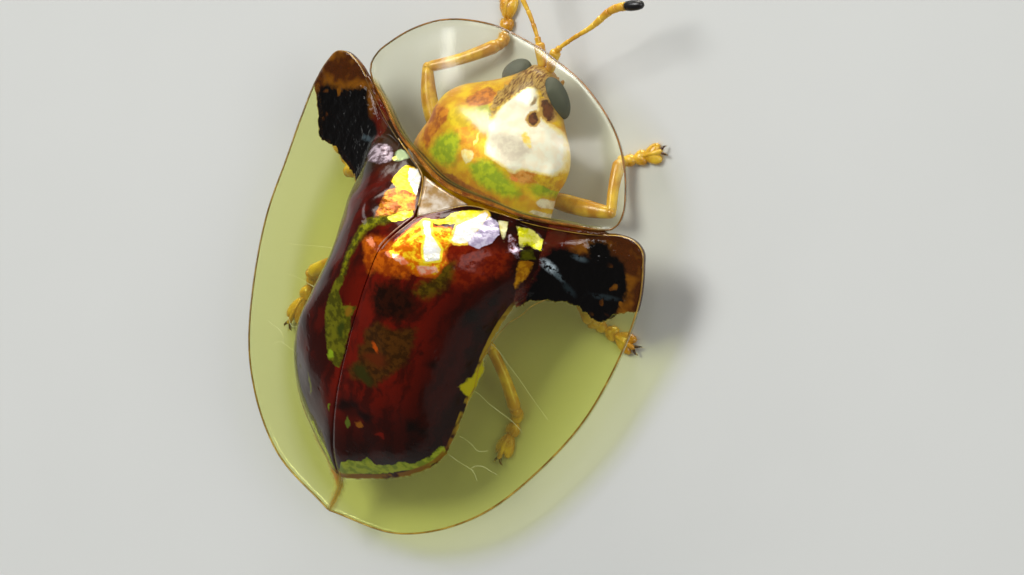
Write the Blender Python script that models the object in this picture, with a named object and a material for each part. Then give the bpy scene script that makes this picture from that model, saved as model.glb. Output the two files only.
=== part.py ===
"""A golden tortoise beetle at life size, standing: shield, wing cases, body, head, feelers and legs.

+Y is the way the beetle faces, +X its right side and +Z up. Lengths are in millimetres and are
turned to metres where a mesh is made. The model is drawn round a point on the floor below the
middle of the shell, and is moved at the end so that the middle of its base is the origin.
"""

import math

import bmesh
import bpy
import numpy as np
from mathutils import Matrix, Vector

MM = 0.001

# Driving dimensions of the shell
SHELL_LENGTH = 12.0
HALF_LENGTH = SHELL_LENGTH / 2
PLATE_THICK = 0.5
EDGE_THICK = 0.3
GAP = 0.3
SUTURE_HALF_GAP = GAP / 2

# Wing cases: the hump, and what its foot and the thin outer margin do around it
HUMP_CENTRE = (0.0, 0.48)
HUMP_TOP = 4.11
# (degrees from the right side towards the head, radius, height) of the foot of the disc
DISC_FOOT = (
    (-90, 5.58, 1.27),
    (-79, 5.23, 1.28),
    (-68, 4.91, 1.32),
    (-58, 4.50, 1.38),
    (-48, 3.65, 1.49),
    (-34, 2.87, 1.55),
    (-18, 2.50, 1.59),
    (0, 2.52, 1.67),
    (18, 2.83, 1.80),
    (35, 3.05, 2.02),
    (50, 2.57, 2.40),
    (69, 1.97, 2.68),
    (90, 1.82, 2.78),
)
# (degrees, power of the radius, power of the whole) of the hump's fall from its top to its foot
HUMP_FALL = ((-90, 1.43, 0.65), (-45, 2.49, 0.83), (0, 2.22, 0.64), (45, 1.71, 1.10), (90, 1.78, 2.12))
# Outer edge of the right wing case (x, y, z): scutellum tip, base, shoulder, side, tail
WING_CASE_BASE = (
    (SUTURE_HALF_GAP, 1.22, 3.52),
    (0.98, 2.17, 2.80),
    (1.45, 2.33, 2.56),
    (2.05, 2.46, 2.32),
    (3.15, 2.87, 1.98),
    (3.85, 3.17, 1.80),
)
WING_CASE_RIM = (
    (3.85, 3.17, 1.80),
    (4.25, 3.37, 1.80),
    (4.60, 3.43, 1.79),
    (4.87, 3.32, 1.76),
    (5.02, 3.02, 1.70),
    (5.18, 2.45, 1.54),
    (5.26, 1.50, 1.33),
    (5.22, 0.40, 1.17),
    (5.08, -0.90, 1.12),
    (4.67, -2.26, 1.12),
    (3.62, -4.22, 1.14),
    (2.00, -5.52, 1.14),
    (SUTURE_HALF_GAP, -HALF_LENGTH, 1.14),
)
BASE_SPOKES = 13
RIM_SPOKES = 33
DISC_RINGS = (0.22, 0.40, 0.56, 0.69, 0.80, 0.89, 0.955, 1.0)
MARGIN_RINGS = (0.10, 0.40, 0.72, 1.0)

# Shield over the head: outline from the middle of its front to the middle of its base (x, y, z)
SHIELD_CENTRE = (0.0, 3.75)
SHIELD_TOP = 2.86
SHIELD_FRONT = (
    (0.0, HALF_LENGTH, 1.72),
    (1.54, 5.81, 1.68),
    (2.95, 5.13, 1.64),
    (3.72, 4.22, 1.66),
    (3.90, 3.75, 1.70),
    (3.76, 3.44, 1.74),
)
SHIELD_BASE = ((3.76, 3.44, 1.74), (3.10, 3.17, 1.96), (2.00, 2.75, 2.34), (1.40, 2.61, 2.55), (0.0, 2.42, 2.76))
SHIELD_FRONT_SPOKES = 17
SHIELD_BASE_SPOKES = 10
SHIELD_RINGS = (0.20, 0.38, 0.54, 0.68, 0.80, 0.91, 1.0)
SHIELD_FALL = (2.0, 1.5)

# Scutellum: a small triangle between shield and wing cases
SCUTELLUM_HALF_WIDTH = 0.56
SCUTELLUM_FRONT_Y = 2.10
SCUTELLUM_TIP_Y = 1.55

# Body under the shell
BODY_CLEAR = PLATE_THICK + GAP + 0.05
BELLY_Z = 0.95
FLANK_Z = 1.18
BODY_RINGS = (0.30, 0.55, 0.76, 0.90)
BODY_SPOKES = 30
WAIST_Y = 0.10
BODY_FRONT_Y = 1.72
PROTHORAX_BACK_Y = 2.12
PROTHORAX_FRONT_Y = 4.42
PROTHORAX_HALF_WIDTH = 2.15

# Head: the eyes are long ovals that run back and down along its sides
HEAD_CENTRE = (0.0, 5.10, 0.98)
HEAD_SIZE = (0.66, 0.46, 0.44)
EYE_FRONT = (0.44, 5.36, 1.16)
EYE_BACK = (0.98, 4.78, 0.76)
EYE_HALF_WIDTH = 0.22
EYE_GAP = 0.20

# Feelers
FEELER_THICK = 0.46
FEELER_SEGMENTS = 11

# Legs: hip, knee, ankle and toe (x, y, z) in the stance of the photograph
LEGS = {
    "leg_front_right": ((0.75, 2.85, 0.38), (3.03, 3.44, 0.66), (2.42, 4.48, 0.34), (3.18, 5.18, 0.20)),
    "leg_front_left": ((-1.25, 2.62, 0.38), (-3.10, 3.90, 0.66), (-1.92, 5.18, 0.34), (-2.40, 6.30, 0.20)),
    "leg_middle_right": ((0.80, 1.05, 0.38), (2.60, 1.62, 0.68), (3.64, 0.94, 0.34), (4.86, 0.96, 0.20)),
    "leg_middle_left": ((-0.80, 1.05, 0.38), (-2.78, 1.52, 0.68), (-4.02, 0.74, 0.34), (-4.84, 1.24, 0.20)),
    "leg_hind_right": ((0.75, -0.95, 0.38), (1.90, -0.78, 0.68), (2.86, -1.74, 0.34), (3.02, -2.84, 0.20)),
    "leg_hind_left": ((-0.75, -0.70, 0.38), (-2.70, -0.82, 0.68), (-3.74, -1.74, 0.34), (-3.80, -3.08, 0.20)),
}
FEMUR_PROFILE = ((0.0, 0.19), (0.10, 0.24), (0.45, 0.28), (0.80, 0.26), (1.0, 0.19))
TIBIA_PROFILE = ((0.0, 0.19), (0.10, 0.235), (0.60, 0.24), (0.92, 0.27), (1.0, 0.20))
LEG_SIDES = 10
# (share of the foot where a lobe is centred, half length, half width) of each lobe
TARSUS_LOBES = ((0.16, 0.24, 0.25), (0.42, 0.24, 0.27), (0.70, 0.27, 0.33), (0.95, 0.22, 0.25))
TARSUS_HALF_HEIGHT = 0.24

COLOURS = {
    "shield_chitin": ((0.62, 0.45, 0.08), 0.12, 0.0),
    "wing_case_chitin": ((0.22, 0.035, 0.012), 0.10, 0.35),
    "scutellum_chitin": ((0.80, 0.55, 0.25), 0.15, 0.6),
    "body_chitin": ((0.75, 0.55, 0.10), 0.30, 0.2),
    "head_chitin": ((0.80, 0.68, 0.42), 0.20, 0.5),
    "eye_facets": ((0.03, 0.035, 0.035), 0.18, 0.0),
    "feeler_chitin": ((0.72, 0.42, 0.06), 0.28, 0.0),
    "leg_chitin": ((0.78, 0.48, 0.08), 0.25, 0.0),
}


def curve_through(keys, at):
    """Values at `at` of a smooth curve through the keys, whose first entry is the parameter."""
    keys = np.array(keys, float)
    t, v = keys[:, 0], keys[:, 1:]
    slope = np.gradient(v, t, axis=0)
    at = np.clip(np.asarray(at, float), t[0], t[-1])
    i = np.clip(np.searchsorted(t, at, side="right") - 1, 0, len(t) - 2)
    h = (t[i + 1] - t[i])[..., None]
    s = ((at - t[i])[..., None]) / h
    return (
        (2 * s**3 - 3 * s**2 + 1) * v[i]
        + (s**3 - 2 * s**2 + s) * h * slope[i]
        + (-2 * s**3 + 3 * s**2) * v[i + 1]
        + (s**3 - s**2) * h * slope[i + 1]
    )


def along(points, count):
    """`count` evenly spaced points on a smooth curve through the given points."""
    points = np.array(points, float)
    steps = np.linalg.norm(np.diff(points, axis=0), axis=1)
    keys = np.column_stack([np.concatenate([[0], np.cumsum(steps)]), points])
    return curve_through(keys, np.linspace(0, keys[-1, 0], count))


def hump_height(x, y):
    """Height of the top of the wing cases inside the foot of the disc."""
    dx, dy = abs(x) - HUMP_CENTRE[0], y - HUMP_CENTRE[1]
    degrees = math.degrees(math.atan2(dy, max(dx, 1e-6)))
    radius, foot = curve_through(DISC_FOOT, degrees)
    power, shape = curve_through(HUMP_FALL, degrees)
    out = min(math.hypot(dx, dy) / radius, 1.0)
    return foot + (HUMP_TOP - foot) * (1 - out**power) ** shape


def disc_share(x, y):
    """How far out a point lies, as a share of the way to the foot of the disc."""
    dx, dy = abs(x) - HUMP_CENTRE[0], y - HUMP_CENTRE[1]
    degrees = math.degrees(math.atan2(dy, max(dx, 1e-6)))
    return math.hypot(dx, dy) / curve_through(DISC_FOOT, degrees)[0]


def material(name):
    made = bpy.data.materials.get(name)
    if made is None:
        colour, roughness, metallic = COLOURS[name]
        made = bpy.data.materials.new(name)
        made.use_nodes = True
        shader = made.node_tree.nodes["Principled BSDF"]
        shader.inputs["Base Color"].default_value = (*colour, 1.0)
        shader.inputs["Roughness"].default_value = roughness
        shader.inputs["Metallic"].default_value = metallic
    return made


def finish_object(name, bm, slot):
    """Makes the object from a bmesh in millimetres, closed and facing out."""
    bmesh.ops.remove_doubles(bm, verts=bm.verts, dist=0.002)
    bmesh.ops.recalc_face_normals(bm, faces=bm.faces)
    if bm.calc_volume(signed=True) < 0:
        bmesh.ops.reverse_faces(bm, faces=bm.faces)
    bmesh.ops.scale(bm, vec=(MM, MM, MM), verts=bm.verts)
    mesh = bpy.data.meshes.new(name)
    bm.to_mesh(mesh)
    bm.free()
    mesh.shade_smooth()
    mesh.materials.append(material(slot))
    made = bpy.data.objects.new(name, mesh)
    bpy.context.scene.collection.objects.link(made)
    return made


def plate_from_rings(rings, thickness, still_x=None):
    """A closed plate whose top is the polar grid `rings`, thickened down along its normals.

    rings[0] is one point and every other ring is a list of points from the first spoke to the
    last. thickness holds one value for each ring. Points on still_x keep that x below too, so
    that a straight seam stays upright. A closed grid repeats no spoke and wraps round.
    """
    bm = bmesh.new()
    hub = bm.verts.new(rings[0])
    rows = [[bm.verts.new(p) for p in ring] for ring in rings[1:]]
    depth = {hub: thickness[0]}
    for row, thick in zip(rows, thickness[1:]):
        depth.update({v: thick for v in row})
    wraps = still_x is None
    count = len(rows[0])
    last = count if wraps else count - 1
    for j in range(last):
        k = (j + 1) % count
        bm.faces.new((hub, rows[0][j], rows[0][k]))
        for inner, outer in zip(rows, rows[1:]):
            bm.faces.new((inner[j], outer[j], outer[k], inner[k]))
    bmesh.ops.recalc_face_normals(bm, faces=bm.faces)
    if sum(f.normal.z for f in bm.faces) < 0:
        bmesh.ops.reverse_faces(bm, faces=bm.faces)
    bm.normal_update()
    below = {}
    for v in list(bm.verts):
        drop = v.normal * depth[v]
        if still_x is not None and abs(v.co.x - still_x) < 1e-6:
            drop.x = 0.0
            drop = drop.normalized() * depth[v]
        below[v] = bm.verts.new(v.co - drop)
    for face in list(bm.faces):
        bm.faces.new([below[v] for v in reversed(face.verts)])
    for edge in [e for e in bm.edges if e.is_boundary and e.verts[0] in below and e.verts[1] in below]:
        a, b = edge.verts
        bm.faces.new((a, b, below[b], below[a]))
    return bm


def make_wing_case(name, side):
    """One wing case: half of the hump with its thin, clear margin (side is 1 for the right)."""
    base = along(WING_CASE_BASE, BASE_SPOKES)
    rim = along(WING_CASE_RIM, RIM_SPOKES)
    edge = np.concatenate([base, rim[1:]])
    edge[:, 0] = np.maximum(edge[:, 0], SUTURE_HALF_GAP)
    centre = np.array([SUTURE_HALF_GAP, HUMP_CENTRE[1]])
    rings = [(side * centre[0], centre[1], hump_height(*centre))]
    reach = [min(1.0 / disc_share(*p[:2]), 1.0) for p in edge]
    inner = [centre + (p[:2] - centre) * r for p, r in zip(edge, reach)]
    for share in DISC_RINGS:
        plan = [centre + (q - centre) * share for q in inner]
        rings.append([(side * x, y, hump_height(x, y)) for x, y in plan])
    for share in MARGIN_RINGS:
        ring = []
        for p, q, r in zip(edge, inner, reach):
            x, y = q + (p[:2] - q) * share
            foot = hump_height(*q)
            height = foot + (p[2] - foot) * share if r < 1 else foot
            ring.append((side * x, y, height))
        rings.append(ring)
    spread = [k for k, r in enumerate(reach) if r >= 1]
    for k in spread:
        p, q = edge[k][:2], inner[k]
        for n in range(1, len(rings)):
            share = n / (len(rings) - 1)
            x, y = centre + (p - centre) * share
            rings[n][k] = (side * x, y, hump_height(x, y))
    thickness = [PLATE_THICK] * (len(rings) - 1) + [EDGE_THICK]
    bm = plate_from_rings(rings, thickness, still_x=side * SUTURE_HALF_GAP)
    return finish_object(name, bm, "wing_case_chitin")


def shield_height(edge_height, out):
    power, shape = SHIELD_FALL
    return edge_height + (SHIELD_TOP - edge_height) * (1 - out**power) ** shape


def shield_outline():
    """Outline of the shield, once round from the middle of its front."""
    front = along(SHIELD_FRONT, SHIELD_FRONT_SPOKES)
    base = along(SHIELD_BASE, SHIELD_BASE_SPOKES)
    right = np.concatenate([front, base[1:]])
    left = right[-2:0:-1] * np.array([-1, 1, 1])
    return np.concatenate([right, left])


def make_shield():
    """The round, clear shield that covers the head and the front legs."""
    centre = np.array(SHIELD_CENTRE)
    outline = shield_outline()
    rings = [(*centre, SHIELD_TOP)]
    for out in SHIELD_RINGS:
        ring = []
        for p in outline:
            x, y = centre + (p[:2] - centre) * out
            ring.append((x, y, shield_height(p[2], out)))
        rings.append(ring)
    thickness = [PLATE_THICK] * (len(rings) - 1) + [EDGE_THICK]
    return finish_object("pronotum", plate_from_rings(rings, thickness), "shield_chitin")


def make_scutellum():
    """The small triangle at the front of the seam, standing on the slope of the hump."""
    bm = bmesh.new()
    middle_y = (SCUTELLUM_FRONT_Y * 2 + SCUTELLUM_TIP_Y) / 3
    outline = (
        (SCUTELLUM_HALF_WIDTH, SCUTELLUM_FRONT_Y),
        (-SCUTELLUM_HALF_WIDTH, SCUTELLUM_FRONT_Y),
        (0.0, SCUTELLUM_TIP_Y),
    )
    corners = [bm.verts.new((x, y, hump_height(x, y))) for x, y in outline]
    face = bm.faces.new(corners)
    bmesh.ops.subdivide_edges(bm, edges=bm.edges[:], cuts=3, use_grid_fill=True)
    for v in bm.verts:
        rise = 1 - math.hypot(v.co.x, v.co.y - middle_y) / SCUTELLUM_HALF_WIDTH
        v.co.z = hump_height(v.co.x, v.co.y) + 0.05 * max(rise, 0.0)
    made = bmesh.ops.extrude_face_region(bm, geom=bm.faces[:])
    lowered = [v for v in made["geom"] if isinstance(v, bmesh.types.BMVert)]
    bmesh.ops.translate(bm, vec=(0, 0, -PLATE_THICK), verts=lowered)
    del face
    return finish_object("scutellum", bm, "scutellum_chitin")


def body_core():
    """The whole body under the wing cases: their inside, drawn in by the gap, over a flat belly."""
    bm = bmesh.new()
    angles = np.linspace(0, 2 * math.pi, BODY_SPOKES, endpoint=False)
    cx, cy = HUMP_CENTRE

    def top_point(angle, share):
        degrees = math.degrees(math.asin(math.sin(angle)))
        radius = curve_through(DISC_FOOT, degrees)[0] * share
        x, y = cx + radius * math.cos(angle), cy + radius * math.sin(angle)
        step = 0.02
        slope = Vector(
            (
                hump_height(x - step, y) - hump_height(x + step, y),
                hump_height(x, y - step) - hump_height(x, y + step),
                2 * step,
            )
        ).normalized()
        return Vector((x, y, hump_height(x, y))) - slope * BODY_CLEAR

    hub = bm.verts.new((cx, cy, HUMP_TOP - BODY_CLEAR))
    rows = [[bm.verts.new(top_point(a, share)) for a in angles] for share in BODY_RINGS]
    for share, z in ((1.0, FLANK_Z), (0.86, 0.5 * (FLANK_Z + BELLY_Z)), (0.60, BELLY_Z)):
        flank = [v.co for v in rows[len(BODY_RINGS) - 1]]
        rows.append([bm.verts.new((p.x * share, cy + (p.y - cy) * share, min(z, p.z - 0.05))) for p in flank])
    foot = bm.verts.new((cx, cy, BELLY_Z))
    count = len(angles)
    for j in range(count):
        k = (j + 1) % count
        bm.faces.new((hub, rows[0][j], rows[0][k]))
        bm.faces.new((foot, rows[-1][k], rows[-1][j]))
        for inner, outer in zip(rows, rows[1:]):
            bm.faces.new((inner[j], outer[j], outer[k], inner[k]))
    bmesh.ops.recalc_face_normals(bm, faces=bm.faces)
    return bm


def keep_between(bm, back_y, front_y):
    """Cuts the body to the stretch between two upright planes and closes the cuts."""
    for y, outward in ((back_y, -1), (front_y, 1)):
        if y is None:
            continue
        geometry = bm.verts[:] + bm.edges[:] + bm.faces[:]
        bmesh.ops.bisect_plane(
            bm, geom=geometry, plane_co=(0, y, 0), plane_no=(0, outward, 0), clear_outer=True
        )
        bmesh.ops.holes_fill(bm, edges=[e for e in bm.edges if e.is_boundary], sides=0)
    bmesh.ops.triangulate(bm, faces=[f for f in bm.faces if len(f.verts) > 4])
    return bm


def make_body():
    abdomen = keep_between(body_core(), None, WAIST_Y - GAP / 2)
    finish_object("abdomen", abdomen, "body_chitin")
    thorax = keep_between(body_core(), WAIST_Y + GAP / 2, BODY_FRONT_Y)
    finish_object("hind_thorax", thorax, "body_chitin")


def make_prothorax():
    """The barrel under the shield that carries the head and the front legs."""
    bm = bmesh.new()
    sections = (
        (PROTHORAX_BACK_Y, 0.86, 1.80, 1.04),
        (PROTHORAX_BACK_Y + 0.16, 0.97, 1.92, 0.96),
        (2.85, 1.0, 2.00, 0.95),
        (3.45, 0.97, 1.96, 0.95),
        (3.95, 0.82, 1.80, 0.95),
        (4.25, 0.60, 1.58, 0.98),
        (PROTHORAX_FRONT_Y, 0.42, 1.42, 1.04),
    )
    sides = 20
    rows = []
    for y, width, top, bottom in sections:
        middle, half = (top + bottom) / 2, (top - bottom) / 2
        ring = []
        for n in range(sides):
            a = 2 * math.pi * n / sides
            bulge = abs(math.cos(a)) ** 0.85 * math.copysign(1, math.cos(a))
            x = PROTHORAX_HALF_WIDTH * width * bulge
            ring.append(bm.verts.new((x, y, middle + half * math.sin(a))))
        rows.append(ring)
    for a, b in zip(rows, rows[1:]):
        for j in range(sides):
            k = (j + 1) % sides
            bm.faces.new((a[j], b[j], b[k], a[k]))
    bm.faces.new(rows[0])
    bm.faces.new(list(reversed(rows[-1])))
    bmesh.ops.triangulate(bm, faces=[f for f in bm.faces if len(f.verts) > 4])
    return finish_object("prothorax", bm, "body_chitin")


def ellipsoid(name, centre, size, turn=None, rows=9, sides=16, slot="head_chitin"):
    bm = bmesh.new()
    bmesh.ops.create_uvsphere(bm, u_segments=sides, v_segments=rows, radius=1.0)
    place = Matrix.Translation(centre) @ (turn or Matrix()) @ Matrix.Diagonal((*size, 1.0))
    bmesh.ops.transform(bm, matrix=place, verts=bm.verts)
    return finish_object(name, bm, slot)


def turned(name, start, end, profile, slot, sides=LEG_SIDES, width=1.0):
    """A round limb segment from start to end, its ends closed by low caps."""
    start, end = Vector(start), Vector(end)
    axis = (end - start).normalized()
    across = axis.cross(Vector((0, 0, 1))).normalized()
    rise = across.cross(axis)
    bm = bmesh.new()
    rows = []
    for share, radius in profile:
        middle = start.lerp(end, share)
        row = []
        for n in range(sides):
            a = 2 * math.pi * n / sides
            row.append(bm.verts.new(middle + across * math.cos(a) * radius * width + rise * math.sin(a) * radius))
        rows.append(row)
    for a, b in zip(rows, rows[1:]):
        for j in range(sides):
            k = (j + 1) % sides
            bm.faces.new((a[j], a[k], b[k], b[j]))
    for row, point, radius, way in ((rows[0], start, profile[0][1], -1), (rows[-1], end, profile[-1][1], 1)):
        tip = bm.verts.new(point + axis * radius * 0.6 * way)
        for j in range(sides):
            bm.faces.new((row[j], row[(j + 1) % sides], tip))
    return finish_object(name, bm, slot)


def keep_largest(obj):
    """Drops all but the largest closed surface of a fused mesh."""
    bm = bmesh.new()
    bm.from_mesh(obj.data)
    bm.faces.ensure_lookup_table()
    seen, parts = set(), []
    for face in bm.faces:
        if face.index in seen:
            continue
        found, queue = [], [face]
        seen.add(face.index)
        while queue:
            f = queue.pop()
            found.append(f)
            for e in f.edges:
                for other in e.link_faces:
                    if other.index not in seen:
                        seen.add(other.index)
                        queue.append(other)
        parts.append(found)
    parts.sort(key=lambda faces: sum(f.calc_area() for f in faces), reverse=True)
    bmesh.ops.delete(bm, geom=[f for faces in parts[1:] for f in faces], context="FACES")
    bm.to_mesh(obj.data)
    bm.free()


def fuse(name, pieces, operation="UNION", solver="EXACT"):
    """Joins (or cuts) the first piece with the others by one Boolean, and keeps one closed body."""
    body = pieces[0]
    others = bpy.data.collections.new(name + "_pieces")
    for piece in pieces[1:]:
        others.objects.link(piece)
    cut = body.modifiers.new("Join", "BOOLEAN")
    cut.operation, cut.operand_type, cut.collection, cut.solver = operation, "COLLECTION", others, solver
    bpy.context.view_layer.update()
    fused = bpy.data.meshes.new_from_object(body.evaluated_get(bpy.context.evaluated_depsgraph_get()))
    body.modifiers.clear()
    body.data = fused
    for piece in pieces[1:]:
        bpy.data.objects.remove(piece)
    bpy.data.collections.remove(others)
    body.name = name
    keep_largest(body)
    return body


def make_head():
    """The flat head under the front of the shield, with sockets that hold the long eyes."""
    centre = Vector(HEAD_CENTRE)
    skull = ellipsoid("skull", centre, HEAD_SIZE)
    jaws = ellipsoid("jaws", centre + Vector((0, 0.10, -0.30)), (0.34, 0.32, 0.24), None, 7, 12)
    head = fuse("head", [skull, jaws])
    sockets = []
    for name, side in (("eye_left", -1), ("eye_right", 1)):
        front, back = (Vector((side * p[0], p[1], p[2])) for p in (EYE_FRONT, EYE_BACK))
        turn = (front - back).to_track_quat("Z", "Y").to_matrix().to_4x4()
        half_length = (front - back).length / 2
        place = front.lerp(back, 0.5)
        size = (EYE_HALF_WIDTH, EYE_HALF_WIDTH, half_length)
        ellipsoid(name, place, size, turn, 10, 12, "eye_facets")
        sockets.append(ellipsoid("socket", place, [s + EYE_GAP for s in size], turn, 8, 12))
    fuse("head", [head, *sockets], "DIFFERENCE")


def feeler_points(side):
    """Path of a feeler from in front of the head, under the shield's edge and out."""
    if side > 0:
        return ((0.24, 5.84, 0.98), (0.30, 6.18, 1.14), (0.78, 6.96, 1.40), (1.20, 7.64, 1.55), (1.88, 8.12, 1.60))
    return ((-0.54, 5.78, 0.98), (-0.72, 6.14, 1.14), (-1.22, 6.65, 1.38), (-1.80, 7.20, 1.52), (-2.48, 7.85, 1.60))


def make_feeler(name, side):
    """A feeler of eleven joints, thicker towards its dark tip, as one beaded tube."""
    path = along(feeler_points(side), FEELER_SEGMENTS * 2 + 1)
    half = FEELER_THICK / 2
    bm = bmesh.new()
    sides = 8
    rows = []
    for n, point in enumerate(path):
        here = Vector(point)
        ahead = Vector(path[min(n + 1, len(path) - 1)]) - Vector(path[max(n - 1, 0)])
        axis = ahead.normalized()
        across = axis.cross(Vector((0, 0, 1))).normalized()
        rise = across.cross(axis)
        radius = half * (1.0 if n % 2 else 0.86)
        if n == len(path) - 1:
            radius = half * 0.45
        row = []
        for k in range(sides):
            a = 2 * math.pi * k / sides
            row.append(bm.verts.new(here + (across * math.cos(a) + rise * math.sin(a)) * radius))
        rows.append(row)
    for a, b in zip(rows, rows[1:]):
        for j in range(sides):
            k = (j + 1) % sides
            bm.faces.new((a[j], a[k], b[k], b[j]))
    bm.faces.new(rows[0])
    bm.faces.new(list(reversed(rows[-1])))
    bmesh.ops.triangulate(bm, faces=[f for f in bm.faces if len(f.verts) > 4])
    return finish_object(name, bm, "feeler_chitin")


def make_foot_lobe(name, centre, heading, half_length, half_width):
    """One lobe of a foot: an oval pad whose underside is cut flat on the floor."""
    bm = bmesh.new()
    bmesh.ops.create_uvsphere(bm, u_segments=12, v_segments=8, radius=1.0)
    place = (
        Matrix.Translation(centre)
        @ Matrix.Rotation(heading, 4, "Z")
        @ Matrix.Diagonal((half_length, half_width, TARSUS_HALF_HEIGHT, 1.0))
    )
    bmesh.ops.transform(bm, matrix=place, verts=bm.verts)
    return finish_object(name, bm, "leg_chitin")


def make_leg(name, joints):
    hip, knee, ankle, toe = (Vector(p) for p in joints)
    femur = turned("femur", hip, knee, FEMUR_PROFILE, "leg_chitin")
    tibia = turned("tibia", knee, ankle, TIBIA_PROFILE, "leg_chitin")
    foot_way = toe - ankle
    heading = math.atan2(foot_way.y, foot_way.x)
    lobes = []
    for share, half_length, half_width in TARSUS_LOBES:
        centre = ankle.lerp(toe, share)
        centre.z = TARSUS_HALF_HEIGHT * 0.9 + (ankle.z - TARSUS_HALF_HEIGHT * 0.9) * max(0.0, 1 - share * 2.5)
        lobes.append(make_foot_lobe("lobe", centre, heading, half_length, half_width))
    leg = fuse(name, [femur, tibia, *lobes])
    flatten_sole(leg)
    return leg


def flatten_sole(leg):
    """Cuts the foot level with the floor, so that it stands on small flats."""
    bm = bmesh.new()
    bm.from_mesh(leg.data)
    geometry = bm.verts[:] + bm.edges[:] + bm.faces[:]
    bmesh.ops.bisect_plane(bm, geom=geometry, plane_co=(0, 0, 0), plane_no=(0, 0, -1), clear_outer=True)
    bmesh.ops.holes_fill(bm, edges=[e for e in bm.edges if e.is_boundary], sides=0)
    bmesh.ops.triangulate(bm, faces=[f for f in bm.faces if len(f.verts) > 4])
    bmesh.ops.recalc_face_normals(bm, faces=bm.faces)
    bm.to_mesh(leg.data)
    bm.free()


def centre_on_floor():
    """Moves the model so that the middle of its base is the origin."""
    corners = np.array([v.co for o in bpy.context.scene.objects for v in o.data.vertices])
    low, high = corners.min(0), corners.max(0)
    shift = Matrix.Translation((-(low[0] + high[0]) / 2, -(low[1] + high[1]) / 2, -low[2]))
    for o in bpy.context.scene.objects:
        o.data.transform(shift)
    print("model shift mm", [round(v * 1000, 4) for v in shift.translation])


def main():
    for old in list(bpy.data.objects):
        bpy.data.objects.remove(old)
    make_wing_case("elytron_right", 1)
    make_wing_case("elytron_left", -1)
    make_shield()
    make_scutellum()
    make_body()
    make_prothorax()
    make_head()
    make_feeler("antenna_right", 1)
    make_feeler("antenna_left", -1)
    for name, joints in LEGS.items():
        make_leg(name, joints)
    centre_on_floor()


main()
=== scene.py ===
"""A tortoise beetle as a life-size museum model: glassy shell, gilded disc and soft hairy feet."""

import math

import bmesh
import bpy
import numpy as np
from bpy.props import FloatProperty, FloatVectorProperty, IntProperty, PointerProperty
from mathutils import Matrix, Vector, noise


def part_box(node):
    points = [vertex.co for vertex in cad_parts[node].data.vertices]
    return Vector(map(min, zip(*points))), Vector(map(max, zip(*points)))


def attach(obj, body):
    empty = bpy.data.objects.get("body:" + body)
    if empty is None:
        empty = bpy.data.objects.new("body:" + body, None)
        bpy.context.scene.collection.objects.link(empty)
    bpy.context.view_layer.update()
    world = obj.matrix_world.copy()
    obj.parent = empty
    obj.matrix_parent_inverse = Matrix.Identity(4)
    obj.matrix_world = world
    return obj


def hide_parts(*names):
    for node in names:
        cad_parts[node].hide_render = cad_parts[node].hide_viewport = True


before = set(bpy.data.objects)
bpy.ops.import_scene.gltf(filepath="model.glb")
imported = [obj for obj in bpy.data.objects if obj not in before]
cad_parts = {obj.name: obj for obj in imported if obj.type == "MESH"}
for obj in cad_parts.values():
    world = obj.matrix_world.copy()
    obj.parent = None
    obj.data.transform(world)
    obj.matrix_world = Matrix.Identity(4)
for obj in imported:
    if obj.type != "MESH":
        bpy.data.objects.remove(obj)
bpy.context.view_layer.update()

bl_info = {
    "name": "Tortoise Beetle Model",
    "version": (1, 0, 0),
    "blender": (4, 5, 0),
    "location": "3D View > Sidebar > Beetle",
    "description": "Builds the shell, body, eyes, feelers, legs and studio of a tortoise beetle",
    "category": "Add Mesh",
}

MM = 0.001

# The shell is drawn round its own middle. The solids put that point this far along Y
TAIL_Y = -6.0
MIDDLE_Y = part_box("elytron_right")[0].y / MM - TAIL_Y

# Wing cases: the hump's middle and top, and the foot of the disc round it
HUMP_Y = 0.48
HUMP_TOP = 4.11
# (degrees from the right side towards the head, radius, height)
DISC_FOOT = (
    (-90, 5.58, 1.27),
    (-79, 5.23, 1.28),
    (-68, 4.91, 1.32),
    (-58, 4.50, 1.38),
    (-48, 3.65, 1.49),
    (-34, 2.87, 1.55),
    (-18, 2.50, 1.59),
    (0, 2.52, 1.67),
    (18, 2.83, 1.80),
    (35, 3.05, 2.02),
    (50, 2.57, 2.40),
    (69, 1.97, 2.68),
    (90, 1.82, 2.78),
)
# (degrees, power of the radius, power of the whole) of the fall from the top to the foot
HUMP_FALL = (
    (-90, 1.43, 0.65), (-45, 2.49, 0.83), (0, 2.22, 0.64), (45, 1.71, 1.10), (90, 1.78, 2.12)
)
SEAM_HALF_GAP = 0.015
SEAM_BEAD_END_Y = 0.6
WING_CASE_BASE = (
    (SEAM_HALF_GAP, 1.47, 3.34),
    (0.36, 1.86, 3.05),
    (0.72, 2.20, 2.82),
    (1.40, 2.40, 2.52),
    (2.05, 2.54, 2.30),
    (3.15, 2.90, 1.98),
    (3.85, 3.20, 1.80),
)
WING_CASE_RIM = (
    (3.85, 3.20, 1.80),
    (4.25, 3.38, 1.80),
    (4.60, 3.43, 1.79),
    (4.87, 3.32, 1.76),
    (5.02, 3.02, 1.70),
    (5.18, 2.45, 1.54),
    (5.25, 1.50, 1.33),
    (5.21, 0.40, 1.17),
    (5.07, -0.90, 1.12),
    (4.66, -2.26, 1.12),
    (3.61, -4.22, 1.14),
    (2.00, -5.52, 1.14),
    (SEAM_HALF_GAP, -6.0, 1.14),
)
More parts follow.
